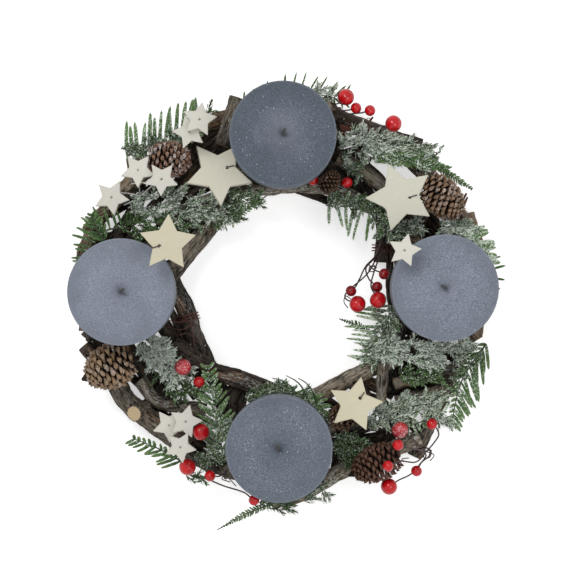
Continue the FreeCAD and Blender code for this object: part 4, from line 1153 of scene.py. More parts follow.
# each spray: combs with their stems, bushes with the lines that they grow along, and bare strands, by pixels
# and millimetres over the deck
sprays = {
    "fir_north_west": [
        {"stem": [(127, 156, 2), (158, 146, 3), (198, 132, 4)],
         "left": 34, "right": 6, "sweep": 18, "frost": 0.35,
         "pitch": 2.1, "width": 1.75, "tone": (0.6, 1.0), "even": 0.06, "over": 0.8, "blunt": True},
        {"line": [(126, 152, 3), (150, 145, 3), (186, 134, 4)], "spread": 7, "count": 44, "frost": 0.5},
        {"line": [(204, 112, 2), (212, 111, 2), (216, 112, 2)], "spread": 3, "count": 3, "frost": 0.2},
    ],
    "fir_west": [
        {"stem": [(122, 226, 2), (98, 232, 3), (86, 264, 2)],
         "left": 3, "right": 24, "sweep": 4, "frost": 0.12,
         "pitch": 2.2, "width": 1.25, "tone": (0.5, 1.0), "taper": 0.1, "over": 0.3, "blunt": True},
        {"stem": [(104, 240, 3), (96, 228, 5), (92, 216, 6)], "left": 16, "right": 15, "sweep": 40,
         "frost": 0.05, "tone": (0.3, 0.9), "width": 1.35, "pitch": 1.6, "over": 0.4, "blunt": True},
        {"line": [(118, 228, 1), (138, 222, 2), (160, 228, 1)],
         "spread": 10, "count": 30, "frost": 0.15, "tone": (0.3, 1.0)},
        {"line": [(133, 206, 2), (165, 203, 4), (200, 206, 4), (232, 214, 3)],
         "spread": 17, "count": 92, "frost": 0.95},
        {"line": [(150, 214, 1), (180, 218, 2), (214, 220, 2)], "spread": 12, "count": 30, "frost": 0.4},
        {"line": [(222, 212, 2), (230, 216, 2), (240, 214, 2)], "spread": 12, "count": 20, "frost": 0.3},
        {"line": [(232, 192, 2), (244, 196, 2), (258, 200, 2)],
         "spread": 8, "count": 20, "frost": 0.4, "tone": (0.4, 1.0)},
        {"stem": [(226, 222, 2), (247, 209, 3), (267, 195.5, 2)], "left": 6, "right": 6, "sweep": 40,
         "frost": 0.1, "width": 0.75, "taper": 0.95, "over": 0.2},
    ],
    "fir_north_east": [
        {"stem": [(244, 104, 2), (296, 90, 3), (342, 100, 2)], "left": 15, "right": 8, "sweep": 18,
         "frost": 0.2, "pitch": 3.2, "even": 0.35},
        {"line": [(308, 95, 3), (320, 92, 3), (332, 97, 2)], "spread": 6, "count": 12, "frost": 1.0},
        {"line": [(342, 148, 3), (364, 142, 4), (392, 148, 4), (426, 158, 3)],
         "spread": 15, "count": 95, "frost": 1.3},
        {"line": [(400, 142, 2), (418, 146, 2), (436, 156, 2)], "spread": 6, "count": 18, "frost": 0.5},
        {"stem": [(372, 158, 6), (410, 160, 7), (447, 169, 4)], "left": 15, "right": 15, "sweep": 55,
         "frost": 0.12, "pitch": 0.75, "tone": (0.1, 0.75), "width": 0.9, "over": 1.0},
        {"stem": [(438, 168, 3), (456, 179, 3), (471, 188.5, 2)], "left": 7, "right": 6, "sweep": 45,
         "frost": 0.1, "width": 0.8},
        {"stem": [(329, 203, 2), (348, 204, 3), (370, 210, 2)], "left": 11, "right": 23, "sweep": 2,
         "frost": 0.55, "pitch": 3.3, "width": 1.5, "tone": (0.5, 1.0), "even": 0.5, "blunt": True},
        {"line": [(328, 203, 2), (350, 203, 3), (380, 212, 2)], "spread": 7, "count": 36, "frost": 0.4},
        {"line": [(372, 208, 1), (382, 222, 1), (391, 238, 0)], "spread": 8, "count": 30, "frost": 0.5},
        {"line": [(394, 232, 1), (404, 228, 2), (416, 224, 1)], "spread": 8, "count": 22, "frost": 0.8},
        {"line": [(342, 160, 0), (350, 168, 1), (362, 172, 1)], "spread": 6, "count": 14, "frost": 0.5},
    ],
    "fir_east": [
        {"stem": [(452, 226, 1), (474, 243, 1), (487, 262, 1)], "left": 22, "right": 4, "sweep": 28,
         "frost": 0.72, "width": 2.2, "tone": (0.9, 1.0), "blunt": True, "pitch": 1.8, "taper": 0.1},
        {"stem": [(488, 250, 0), (493, 270, 0), (493, 298, 0)], "left": 14, "right": 2, "sweep": -4,
         "frost": 0.1, "pitch": 4.0, "width": 1.0, "over": 0.0, "tone": (0.3, 0.9), "blunt": True},
        {"line": [(438, 228, 1), (454, 226, 1), (474, 238, 1)], "spread": 8, "count": 28, "frost": 0.9},
        {"stem": [(391, 306, 1), (385, 332, 2), (372, 364, 1)], "left": 4, "right": 40, "sweep": 6,
         "frost": 0.55, "pitch": 2.1, "width": 1.3, "tone": (0.6, 1.0), "blunt": True, "taper": 0.1},
        {"line": [(392, 306, 1), (384, 332, 2), (370, 362, 1)], "spread": 12, "count": 56, "frost": 0.6},
        {"stem": [(372, 334, 1), (356, 325, 2), (340, 319, 2)], "left": 6, "right": 6, "sweep": 40,
         "frost": 0.1, "width": 0.8, "taper": 0.8},
        {"line": [(374, 350, 3), (405, 351, 4), (436, 356, 4), (468, 350, 3)],
         "spread": 13, "count": 84, "frost": 1.7},
        {"line": [(400, 372, 2), (420, 376, 2), (442, 372, 2)],
         "spread": 9, "count": 30, "frost": 0.25, "tone": (0.6, 1.0)},
    ],
    "fir_south_east": [
        {"stem": [(486, 344, 3), (463, 378, 4), (452, 420, 2)],
         "left": 36, "right": 12, "sweep": 42, "frost": 0.3,
         "pitch": 2.1, "width": 1.45, "tone": (0.5, 1.0), "taper": 0.45, "lift": -0.05, "blunt": True},
        {"line": [(438, 345, 1), (456, 347, 2), (474, 347, 2)], "spread": 6, "count": 18, "frost": 1.1},
        {"line": [(434, 414, 1), (441, 419, 1), (448, 422, 1)], "spread": 5, "count": 10, "frost": 0.8},
        {"line": [(482, 350, 2), (468, 368, 2), (454, 392, 2)], "spread": 4, "count": 14, "frost": 0.4},
        {"stem": [(450, 402, 3), (414, 406, 4), (376, 416, 3)], "left": 21, "right": 14, "sweep": 38,
         "frost": 0.6, "pitch": 2.6, "width": 1.3, "blunt": True},
        {"line": [(366, 418, 3), (388, 415, 4), (416, 407, 3), (440, 402, 2)],
         "spread": 13, "count": 76, "frost": 1.0},
        {"stem": [(396, 424, 4), (412, 424, 4), (428, 420, 3)], "left": 3, "right": 15, "sweep": 5,
         "frost": 0.35, "pitch": 1.9, "width": 1.3, "blunt": True},
        {"line": [(336, 434, 1), (350, 446, 2), (364, 460, 1)],
         "spread": 14, "count": 52, "frost": 0.3, "tone": (0.0, 0.6)},
    ],
    "fir_south": [
        {"stem": [(248, 400, 3), (288, 398, 5), (322, 416, 3)], "left": 18, "right": 8, "sweep": 40,
         "frost": 0.3, "pitch": 1.9, "curl": 0.25, "taper": 0.2, "width": 1.3},
        {"strand": [(302, 402, 5), (292, 388, 7), (283, 381, 8), (272, 378, 8)]},
        {"strand": [(310, 404, 5), (303, 389, 7), (296, 381, 8), (286, 375.5, 8)]},
        {"strand": [(318, 406, 5), (313, 392, 7), (306, 383, 8), (298, 378, 8)]},
        {"line": [(248, 398, 2), (276, 394, 3), (308, 402, 2)],
         "spread": 9, "count": 56, "frost": 0.45, "tone": (0.1, 0.7)},
        {"stem": [(304, 398, 4), (318, 406, 4), (330, 422, 3)], "left": 14, "right": 3, "sweep": 30,
         "frost": 0.25, "tone": (0.6, 1.0), "width": 1.5, "pitch": 1.5, "blunt": True},
        {"stem": [(276, 502, 3), (250, 512, 4), (217, 530, 3)], "left": 6, "right": 6, "sweep": 35,
         "frost": 0.15, "width": 0.85, "taper": 0.95},
        {"line": [(262, 505, 2), (276, 506, 3), (290, 506, 2)], "spread": 5, "count": 14, "frost": 0.4},
        {"line": [(306, 498, 2), (314, 495, 2), (324, 490, 2)], "spread": 6, "count": 12, "frost": 0.7},
    ],
    "fir_south_west": [
        {"stem": [(224, 462, 3), (216, 415, 5), (208, 369, 7)],
         "left": 24, "right": 24, "sweep": 40, "frost": 0.3,
         "pitch": 2.4, "width": 1.5, "tone": (0.6, 1.0), "taper": 0.45, "blunt": True, "over": 0.8},
        {"line": [(222, 458, 1), (219, 440, 1), (216, 422, 1)], "spread": 13, "count": 34, "frost": 0.9},
        {"stem": [(181, 461, 2), (155, 447, 3), (135, 439, 2)],
         "left": 20, "right": 9, "sweep": 40, "frost": 0.15,
         "pitch": 2.1, "width": 1.35, "tone": (0.5, 1.0), "even": -0.45, "over": 0.9, "blunt": True},
        {"line": [(146, 338, 2), (158, 356, 4), (180, 376, 3)],
         "spread": 13, "count": 84, "frost": 2.6, "tone": (0.6, 1.0)},
        {"line": [(156, 370, 1), (176, 384, 2), (202, 394, 1)],
         "spread": 11, "count": 46, "frost": 0.2, "tone": (0.2, 0.9)},
        {"line": [(198, 456, 1), (208, 460, 1), (216, 456, 1)],
         "spread": 7, "count": 18, "frost": 0.5, "tone": (0.0, 0.5)},
        {"line": [(190, 476, 1), (197, 478, 1), (206, 474, 1)],
         "spread": 4, "count": 6, "frost": 0.2, "tone": (0.5, 1.0)},
    ],
}


def makeSprays():
    for number, (name, rows) in enumerate(sprays.items()):
        rng = random.Random(fir["firstSeed"] + number)
        heap = newHeap()
        for row in rows:
            if "stem" in row:
                addComb(heap, row, rng)
            elif "line" in row:
                addBush(heap, row, rng)
            else:
                points = [held(point) for point in spots(row["strand"], deckTop)]
                addTube(heap, points, fir["strandRadius"], 6, spacing=1.2 * mm,
                        tint=(0.15, 0.4, 0.1), tip=0.35)
        piece = pieceOf(heap, name.replace("fir_", "spray_"), [firGreen, frostGrain, stemBrown], 60)
        handIn(piece, "ring", "fir_needles", name)
        print(name, len(heap["faces"]), "faces")


makeSprays()
print("fir sprays set")


# cones: middle in pixels, heading, length, diameter, scales, how open, frost, then dark, brown and tip
smallBrowns = ((0.014, 0.008, 0.005), (0.08, 0.042, 0.023), (0.18, 0.105, 0.06))
cones = {
    "cone_north_west": ((171, 159.5), 4, 34 * mm, 28 * mm, 130, 0.6, 0.45,
                        ((0.018, 0.009, 0.006), (0.1, 0.045, 0.025), (0.24, 0.13, 0.08))),
    "cone_west": ((107, 366.5), 205, 39 * mm, 35 * mm, 118, 1.0, 0.4,
                  ((0.02, 0.012, 0.008), (0.15, 0.082, 0.036), (0.35, 0.235, 0.14))),
    "cone_north_east": ((444, 199), 315, 38.5 * mm, 29 * mm, 140, 0.65, 0.35,
                        ((0.017, 0.009, 0.005), (0.105, 0.055, 0.025), (0.28, 0.175, 0.105))),
    "cone_south_east": ((374, 464.5), 204, 40 * mm, 28.5 * mm, 130, 0.85, 0.05,
                        ((0.013, 0.006, 0.004), (0.062, 0.027, 0.016), (0.14, 0.07, 0.045))),
    "small_north": ((330, 181), 45, 19 * mm, 15.7 * mm, 80, 0.7, 0.15, smallBrowns),
    "small_south": ((341, 417), 150, 20.5 * mm, 19.7 * mm, 84, 0.7, 0.25, smallBrowns),
}
coneForm = {
    "core": ((0.0, 0.16), (0.15, 0.4), (0.4, 0.44), (0.7, 0.3), (0.92, 0.16), (1.0, 0.05)),    # place, width
    "coreSides": 14,
    "scaleRows": 7,              # corners along a scale
    "scaleColumns": 5,           # and across it
    "scaleThick": 0.8 * mm,
    "scaleFrom": 28 * mm,        # cone diameter at which a scale is that thick
    "firstSeed": 300,
    "smallSeed": 311,
}


def scaleFaces():
    # a closed plate between an upper and a lower net of corners
    rows, across = coneForm["scaleRows"], coneForm["scaleColumns"]
    count = rows * across
    faces = []
    for row in range(rows - 1):
        for column in range(across - 1):
            a = row * across + column
            faces.append((a, a + across, a + across + 1, a + 1))
            faces.append((a + count, a + count + 1, a + count + across + 1, a + count + across))
        for column in (0, across - 1):
            a = row * across + column
            face = (a, a + count, a + count + across, a + across)
            faces.append(face if column == 0 else tuple(reversed(face)))
    for row in (0, rows - 1):
        for column in range(across - 1):
            a = row * across + column
            face = (a, a + 1, a + 1 + count, a + count)
            faces.append(face if row == 0 else tuple(reversed(face)))
    return faces


def addScale(heap, length, diameter, along, angle, opened, frost, rng):
    # one woody scale: rooted at the core, bent outwards, with a thick knobbed lip
    swell = math.sin(math.pi * (0.16 + 0.8 * along)) ** 0.8
    outer = diameter / 2 * (0.2 + 0.8 * swell) * rng.uniform(0.93, 1.0)
    root = outer * 0.22
    half = 0.095 * diameter * (0.55 + 0.45 * swell) * rng.uniform(0.85, 1.1)
    thick = coneForm["scaleThick"] * (0.55 + 0.45 * swell) * diameter / coneForm["scaleFrom"]
    lean = (0.2 + 0.7 * along) * (1.25 - 0.5 * opened) * rng.uniform(0.85, 1.15)
    tone = rng.random()
    rime = frost * rng.uniform(0.2, 1.7)
    twist = rng.uniform(-0.2, 0.2)
    verts, tints = [], []
    for layer in (-1, 0.6):
        for row in range(coneForm["scaleRows"]):
            t = row / (coneForm["scaleRows"] - 1)
            radial = root + (outer - root) * t
            forward = lean * (outer - root) * t ** 1.5 * 0.75 - 0.16 * outer * opened * t ** 3
            wide = half * (0.45 + 0.55 * math.sin(math.pi / 2 * min(1, t * 1.25)))
            wide *= math.sqrt(max(0.0, 1 - max(0, (t - 0.78) / 0.26) ** 2))
            lip = 1 + 1.7 * max(0, (t - 0.5) / 0.5) ** 1.5
            for column in range(coneForm["scaleColumns"]):
                u = 2 * column / (coneForm["scaleColumns"] - 1) - 1
                knob = 0.8 * thick * max(0, (t - 0.6) / 0.4) * (1 - abs(u))
                x = forward + (thick * lip / 2 + knob) * layer + u * twist * wide
                verts.append(Vector((x, u * wide, radial - 0.44 * wide * u * u)))
                tints.append((t, tone, rime if t > 0.5 else rime * 0.3))
    place = Matrix.Translation((length * (0.84 * along - 0.47), 0, 0)) @ Matrix.Rotation(angle, 4, "X")
    drop(heap, [place @ vert for vert in verts], scaleFaces(), tints)


def coneMiddle(pixel, diameter):
    # where a cone lies, moved off a candle that it would touch
    middle = spot(*pixel, deckTop + diameter / 2)
    least = candleReach + diameter / 2 + clearance["beside"]
    for candle in candleMiddles.values():
        away = Vector((middle.x - candle.x, middle.y - candle.y, 0))
        if away.length < least:
            away.normalize()
            middle = Vector((candle.x + away.x * least, candle.y + away.y * least, middle.z))
    return middle


def addCone(heap, name, seed):
    pixel, heading, length, diameter, count, opened, frost = cones[name][:-1]
    rng = random.Random(seed)
    sides = coneForm["coreSides"]
    verts = []
    for share, wide in coneForm["core"]:
        reach = diameter / 2 * wide
        for corner in range(sides):
            turn = 2 * math.pi * corner / sides
            verts.append(Vector((length * (share - 0.5), reach * math.cos(turn), reach * math.sin(turn))))
    cone = newHeap()
    # the core takes the scale roots' painted shade
    drop(cone, verts, ringFaces(len(coneForm["core"]), sides), (0.1, 0.5, 0.0))
    for index in range(count):
        along = (index + 0.5) / count
        addScale(cone, length, diameter, along ** 0.9, index * goldenTurn, opened, frost, rng)
    low = min(vert.z for vert in cone["verts"])
    middle = coneMiddle(pixel, diameter)
    lying = Matrix.Translation((middle.x, middle.y, deckTop + seatGap - low))
    place = lying @ Matrix.Rotation(math.radians(heading), 4, "Z")
    drop(heap, [place @ vert for vert in cone["verts"]], cone["faces"], cone["tint"])


def makeCones():
    for number, name in enumerate(cones):
        if name.startswith("cone"):
            heap = newHeap()
            addCone(heap, name, coneForm["firstSeed"] + number)
            piece = pieceOf(heap, "scales_" + name, [scaleFinish("scales_" + name, *cones[name][-1])], 55)
            handIn(piece, "ring", "cone_scale", name)
    heap = newHeap()
    for number, name in enumerate(("small_north", "small_south")):
        addCone(heap, name, coneForm["smallSeed"] + number)
    piece = pieceOf(heap, "scales_small_cones", [scaleFinish("scales_small", *smallBrowns)], 55)
    handIn(piece, "ring", "cone_scale", "small_cones")


makeCones()
print("cones set")


# stars: middle, reach of the tips in pixels, and turn of the first one in degrees. A large star then has its
# wire hole and the foot of its wire, a small one that foot and its layer of branches. There follow the share
# of the full rise, or None over a candle, tilt and low side, and for a large star its colour and the way that
# the wire's end lies.
stars = {
    "thick": 3 * mm,
    "notchShare": 0.52,
    "hole": 1.2 * mm,
    "smallHole": 0.75 * mm,
    "holeCorners": 18,
    "rise": 30 * mm,
    "overCandle": 18.5 * mm,
    "bevel": 0.3 * mm,
    "wire": 0.375 * mm,
    "looseWire": 0.425 * mm,
    "wireFoot": 0.75 * mm,
    "hook": ((0, 0), (0, 0.9 * mm), (2.6 * mm, 0.8 * mm), (5.4 * mm, 0.7 * mm)),   # along and over the board
    "large": {
        # the north-west star's colour is lightened as painted light, to make up for the shade of its tilt
        "north_west": ((218.5, 173), 35, 56.5, (227, 167.5), (241, 165), 0.42, 22, 56.5,
                       (0.71, 0.68, 0.565), 15),
        "west": ((167.5, 243), 29.5, 15.7, (159.5, 246), (154, 241), None, 0, 0,
                 (0.6, 0.555, 0.42), 195),
        "north_east": ((400.5, 196.8), 35.4, 38.2, (410, 197), (407, 206), 0.7, 6, 200,
                       (0.665, 0.65, 0.545), 15),
        "south_east": ((355.2, 404.4), 28.3, 5.4, (360, 398), (360, 378), 0.86, 4, 300,
                       (0.68, 0.635, 0.47), 55),
    },
    "small": [
        ((404.5, 250.3), 17.5, 5, (409, 240), 2, None, 0, 0),
        ((199.5, 119.5), 18, 9, (204, 125), 1, 1.2, 8, 60),
        ((189.5, 132), 17.5, 33, (187, 134), 1, 1.03, 6, 240),
        ((138.2, 170.5), 18, 54, (137, 176), 2, 0.94, 10, 120),
        ((161.5, 179), 17.5, 52, (131, 184), 2, 1.15, 6, 300),
        ((111.8, 197.6), 18.5, 63.4, (113, 203), 2, 0.66, 10, 150),
        ((169.5, 425.5), 17.5, 55, (163, 430), 2, 0.55, 5, 180),
        ((185.5, 421.5), 17.5, 3.5, (172, 436), 2, 0.72, 5, 0),
        ((180.5, 447), 16.5, 62, (177, 440), 2, 0.9, 8, 250),
    ],
    "loose": [
        [(139, 184, 46), (139.5, 190, 40), (139.5, 197, 34), (134, 205, 31), (128, 208, 30.6)],
        [(152, 186, 46), (146, 191, 40), (139.5, 196.5, 34.4), (133, 201, 31.5), (124, 205, 30.8)],
        [(119, 192.5, 40), (129, 193.5, 36), (139.5, 196.8, 34.2), (137, 204, 31.4), (131, 209, 30.8)],
    ],
}


def starSetting(pixel, pixels, turn, share, tilt, lowSide):
    # height and size of a star, and how it leans and turns
    height = candleTop + stars["overCandle"] if share is None else deckTop + stars["rise"] * share
    scale = view["pixelSize"] * (view["height"] - height) / view["height"]
    facing = math.radians(lowSide)
    hinge = Vector((-math.sin(facing), math.cos(facing), 0))
    lean = Matrix.Translation(spot(*pixel, height)) @ Matrix.Rotation(math.radians(tilt), 4, hinge)
    return height, pixels * scale, lean, Matrix.Rotation(math.radians(turn), 4, "Z")


def starBoard(radius, hole, holeReach):
    # board outline with its hole, filled, thickened and eased at its edges
    board = bmesh.new()
    bottom = -stars["thick"] / 2
    outline = []
    for index in range(10):
        reach = radius if index % 2 == 0 else radius * stars["notchShare"]
        angle = math.pi / 5 * index
        outline.append(board.verts.new((reach * math.cos(angle), reach * math.sin(angle), bottom)))
    ring = []
    for index in range(stars["holeCorners"]):
        angle = 2 * math.pi * index / stars["holeCorners"]
        place = (hole.x + holeReach * math.cos(angle), hole.y + holeReach * math.sin(angle), bottom)
        ring.append(board.verts.new(place))
    edges = []
    for loop in (outline, ring):
        for index, vert in enumerate(loop):
            edges.append(board.edges.new((vert, loop[(index + 1) % len(loop)])))
    bmesh.ops.triangle_fill(board, use_beauty=True, edges=edges)
    bmesh.ops.recalc_face_normals(board, faces=board.faces)
    made = bmesh.ops.extrude_face_region(board, geom=board.faces[:])
    for item in made["geom"]:
        if isinstance(item, bmesh.types.BMVert):
            item.co.z = stars["thick"] / 2
    bmesh.ops.recalc_face_normals(board, faces=board.faces)
    bmesh.ops.dissolve_limit(board, angle_limit=math.radians(1), verts=board.verts, edges=board.edges)
    sharp = [edge for edge in board.edges if len(edge.link_faces) == 2 and edge.calc_face_angle() > 1.0]
    bmesh.ops.bevel(board, geom=sharp, offset=stars["bevel"], segments=2, affect="EDGES", clamp_overlap=True)
    bmesh.ops.triangulate(board, faces=[face for face in board.faces if len(face.verts) > 4])
    return board


def starPiece(name, board, matrix, material):
    mesh = bpy.data.meshes.new(name)
    board.to_mesh(mesh)
    board.free()
    mesh.materials.append(material)
    return placed(name, mesh, matrix)


def makeStars():
    wires = newHeap()
    thick = stars["thick"]
    for name, row in stars["large"].items():
        pixel, pixels, turn, hole, foot, share, tilt, lowSide, colour, wireWay = row
        height, radius, lean, spin = starSetting(pixel, pixels, turn, share, tilt, lowSide)
        offset = spot(*hole, height) - spot(*pixel, height)
        board = starBoard(radius, spin.inverted() @ offset, stars["hole"])
        material = boardFinish("board_" + name, colour, 0.35)
        piece = starPiece("board_star_" + name, board, lean @ spin, material)
        handIn(piece, "ring", "star_wood", "star_" + name)
        start = spot(*foot, deckTop + stars["wireFoot"])
        under = lean @ (offset - upward * thick)
        way = Vector((math.cos(math.radians(wireWay)), math.sin(math.radians(wireWay)), 0))
        hook = [lean @ (offset + way * along + upward * (thick * 0.5 + over))
                for along, over in stars["hook"]]
        bend = start.lerp(under, 0.5) + Vector((0.8, 0.6, 0)) * mm
        addTube(wires, [start, bend, under, *hook], stars["wire"], slot=1, spacing=0.5 * mm)
    white = boardFinish("whiteBoard", (0.66, 0.64, 0.575), 0.4)
    for number, row in enumerate(stars["small"]):
        pixel, pixels, turn, foot, layer, share, tilt, lowSide = row
        radius, lean, spin = starSetting(pixel, pixels, turn, share, tilt, lowSide)[1:]
        board = starBoard(radius, Vector((0, 0, 0)), stars["smallHole"])
        piece = starPiece("board_small_star_" + str(number + 1), board, lean @ spin, white)
        handIn(piece, "ring", "white_wood", *(["small_stars"] if number == 0 else []))
        start = spot(*foot, (deckTop if layer == 2 else lowerTop) + stars["wireFoot"])
        under = lean @ (upward * -thick)
        bend = start.lerp(under, 0.5) + Vector((0.7, -0.5, 0)) * mm
        addTube(wires, [start, bend, under, lean @ (upward * thick * 0.1)], stars["wire"], spacing=0.6 * mm)
    for loop in stars["loose"]:
        addTube(wires, spots(loop), stars["looseWire"], spacing=0.6 * mm)
    silver = wireFinish("silverWire", (0.74, 0.74, 0.72), 0.4, 0.3)
    dark = wireFinish("darkHook", (0.05, 0.035, 0.028), 0.5, 0.3)
    handIn(pieceOf(wires, "wires_of_stars", [silver, dark]), "ring", "silver_wire", "star_wires")


makeStars()
print("stars hung")


# berries: how ball, wire and frost are made, and the curls at the loose ends of the wires
berries = {
    "dimple": 0.09,
    "squash": 0.97,
    "stem": 0.55 * mm,
    "stemRise": 0.9 * mm,
    "curlRadius": 0.385 * mm,
    "segments": 36,
    "rings": 22,
    "weld": 0.005 * mm,
    "grains": 26,
    "grainSizes": (0.2 * mm, 0.5 * mm),
    "curls": [
        [(425, 452, 2), (431, 450, 5), (430, 457, 6), (424, 458, 5), (426, 452, 6),
         (434, 455, 5), (430, 461, 4)],
        [(369, 268, 4), (374, 265, 6), (374, 271, 6), (369, 271, 5), (371, 266, 6), (377, 268, 5)],
        [(352, 300, 3), (346, 296, 4), (344, 302, 4), (348, 308, 3)],
        [(409, 458, 30), (402, 459, 31), (404, 462, 30)],
        [(230, 482, 3), (222, 479, 5), (226, 476, 4), (236, 486, 3)],
    ],
}
# each berry: middle in pixels, diameter and rise in millimetres, finish, then the wire from its foot
berrySprays = {
    "berries_north": [
        ((346, 97), 12, 3, "red", [(331, 103, 0), (336, 104, 4), (341, 102, 5)]),
        ((356, 108), 8, 2, "red", [(331, 103, 0), (340, 110, 3), (349, 110, 4)]),
        ((370, 110.5), 8, 3, "red", [(331, 103, 0), (344, 113, 3), (360, 113, 3)]),
        ((393.5, 123.5), 12, 3, "red", [(331, 103, 0), (350, 115, 3), (374, 124, 3), (384, 126, 4)]),
        ((313, 180), 8, 0, "red", [(308, 187, 0)]),
        ((347, 182.5), 8, 1, "red", [(349, 196, 0)]),
    ],
    "berries_east": [
        ((384, 274), 8, 2, "dark", [(383, 238, -14), (377, 256, -4), (369, 263, 4), (373, 269, 5)]),
        ((377, 287), 8, 1, "dark", [(383, 238, -14), (375, 257, -4), (366, 268, 4), (369, 279, 4)]),
        ((378, 300), 12, 5, "red", [(383, 238, -14), (379, 257, -4), (374, 272, 4), (371, 286, 6)]),
        ((351, 291), 8, 0, "dark",
         [(383, 238, -14), (377, 254, -4), (366, 266, 4), (360, 278, 3), (356, 286, 3)]),
        ((357.5, 304), 12, 2, "red",
         [(383, 238, -14), (376, 258, -4), (367, 274, 4), (347, 292, 3), (346, 299, 4)]),
    ],
    "berries_south_east": [
        ((400, 430), 12, 6, "frosted", [(418, 447, -14), (425, 452, -4), (418, 444, 7), (410, 437, 10)]),
        ((398, 445), 8, 30, "red", [(418, 447, -14), (425, 452, -4), (420, 450, 15), (408, 448, 28)]),
        ((432, 424), 8, 6, "red", [(418, 447, -14), (425, 452, -4), (438, 437, 6), (437, 429, 8)]),
        ((388, 466), 8, 32, "red", [(418, 447, -14), (425, 452, -4), (416, 462, 20), (400, 461, 32)]),
        ((416.5, 471), 8, 4, "red", [(418, 447, -14), (429, 449, -4), (429, 456, 5), (422, 462, 6)]),
        ((389, 486.5), 12, 2, "red",
         [(418, 447, -14), (426, 455, -4), (420, 464, 3), (411, 474, 4), (399, 480, 5)]),
    ],
    "berries_south_west": [
        ((183, 367), 12, 2, "frosted", [(193, 356, 0)]),
        ((199, 382), 8, 2, "red", [(207, 367, 0)]),
        ((201, 432), 12, 9, "red", [(179, 437, 0), (190, 434, 8)]),
        ((187.5, 467), 12, 3, "red", [(199, 458, -14)]),
        ((210, 476), 8, 3, "red", [(227, 470, 0), (220, 476, 3)]),
        ((254, 500), 8, 0, "red", [(200, 476, 3), (212, 481, 3), (224, 486, 3), (243, 492, 3)]),
    ],
}
berryFinishes = {
    "red": lacquerFinish("berryRed", (0.66, 0.004, 0.009), False),
    "dark": lacquerFinish("berryDark", (0.3, 0.003, 0.007), False),
    "frosted": lacquerFinish("berryFrosted", (0.6, 0.006, 0.016), True),
}


def addBerry(heap, middle, diameter, away, slot):
    # a slightly squashed ball with a dimple where its wire goes in and a smaller one opposite
    turn = away.to_track_quat("Z", "X").to_matrix()
    segments, rings, dimple = berries["segments"], berries["rings"], berries["dimple"]
    verts = []
    for ring in range(rings + 1):
        tilt = math.pi * ring / rings
        inwards = dimple * math.exp(-(tilt / 0.3) ** 2)
        inwards += 0.5 * dimple * math.exp(-((math.pi - tilt) / 0.16) ** 2)
        reach = diameter / 2 * (1 - inwards)
        for corner in range(segments):
            angle = 2 * math.pi * corner / segments
            across = reach * math.sin(tilt)
            rise = berries["squash"] * reach * math.cos(tilt)
            verts.append(middle + turn @ Vector((across * math.cos(angle), across * math.sin(angle), rise)))
    drop(heap, verts, ringFaces(rings + 1, segments), (0.5, 0.5, 0.0), slot)


def makeBerries():
    stems = newHeap()
    kinds = list(berryFinishes)
    for name, rows in berrySprays.items():
        heap = newHeap()
        for pixel, size, rise, kind, route in rows:
            diameter = size * mm
            middle = spot(*pixel, deckTop + seatGap + diameter / 2 + rise * mm)
            path = spots(route, deckTop + berries["stemRise"])
            away = (path[-1] - middle).normalized()
            addBerry(heap, middle, diameter, away, kinds.index(kind))
            path.append(middle + away * diameter * 0.3)
            addTube(stems, path, berries["stem"], spacing=0.6 * mm)
            if kind == "frosted":
                rng = random.Random(int(pixel[0]))
                for unused in range(berries["grains"]):
                    way = Vector((rng.gauss(0, 0.6), rng.gauss(0, 0.6), 1)).normalized()
                    addGrain(heap, middle + way * diameter / 2, rng.uniform(*berries["grainSizes"]), rng, 3)
        piece = pieceOf(heap, "lacquer_" + name, [*berryFinishes.values(), frostGrain])
        weld(piece, berries["weld"])
        handIn(piece, "ring", "berry_lacquer", name)
    for curl in berries["curls"]:
        addTube(stems, spots(curl, deckTop + berries["stemRise"]), berries["curlRadius"], spacing=0.5 * mm)
    stemWire = wireFinish("stemWire", (0.055, 0.03, 0.026), 0.55, 0.1)
    handIn(pieceOf(stems, "wires_of_berries", [stemWire]), "ring", "stem_wire", "berry_stems")


makeBerries()
print("berries wired")


# binding wire: first and second turn in pixels, width of the branch and number of turns, then the loose ends
binding = {
    "radius": 0.5 * mm,
    "looseRadius": 0.275 * mm,
    "pitch": 2.2 * mm,
    "clear": 0.3 * mm,
    "steps": 24,             # points of the path in each turn
    "turns": [((187, 314), (191, 327), 19.95, 3), ((381.5, 245), (381, 258), 15.75, 2)],
    "loose": [
        [(165, 319, 16), (172, 321, 21), (180, 322, 22), (188, 318, 19), (192, 312, 15)],
        [(167, 327, 16), (175, 329, 20), (184, 329, 21), (191, 324, 18), (195, 320, 15)],
        [(169, 333, 16), (178, 335, 19), (187, 333, 19), (193, 338, 16), (194, 350, 15)],
        [(190, 322, 19), (193, 332, 18), (194, 345, 20), (193, 358, 31)],
        [(345, 122, 30), (356, 127, 31), (364, 122, 31), (369, 118, 30.5), (372, 126, 30.5)],
        [(341, 127, 30.5), (352, 130, 31), (366, 128, 31), (378, 129, 30.5)],
        [(374, 250, 17), (382, 252, 19.5), (390, 250, 17), (392, 244, 15)],
    ],
}


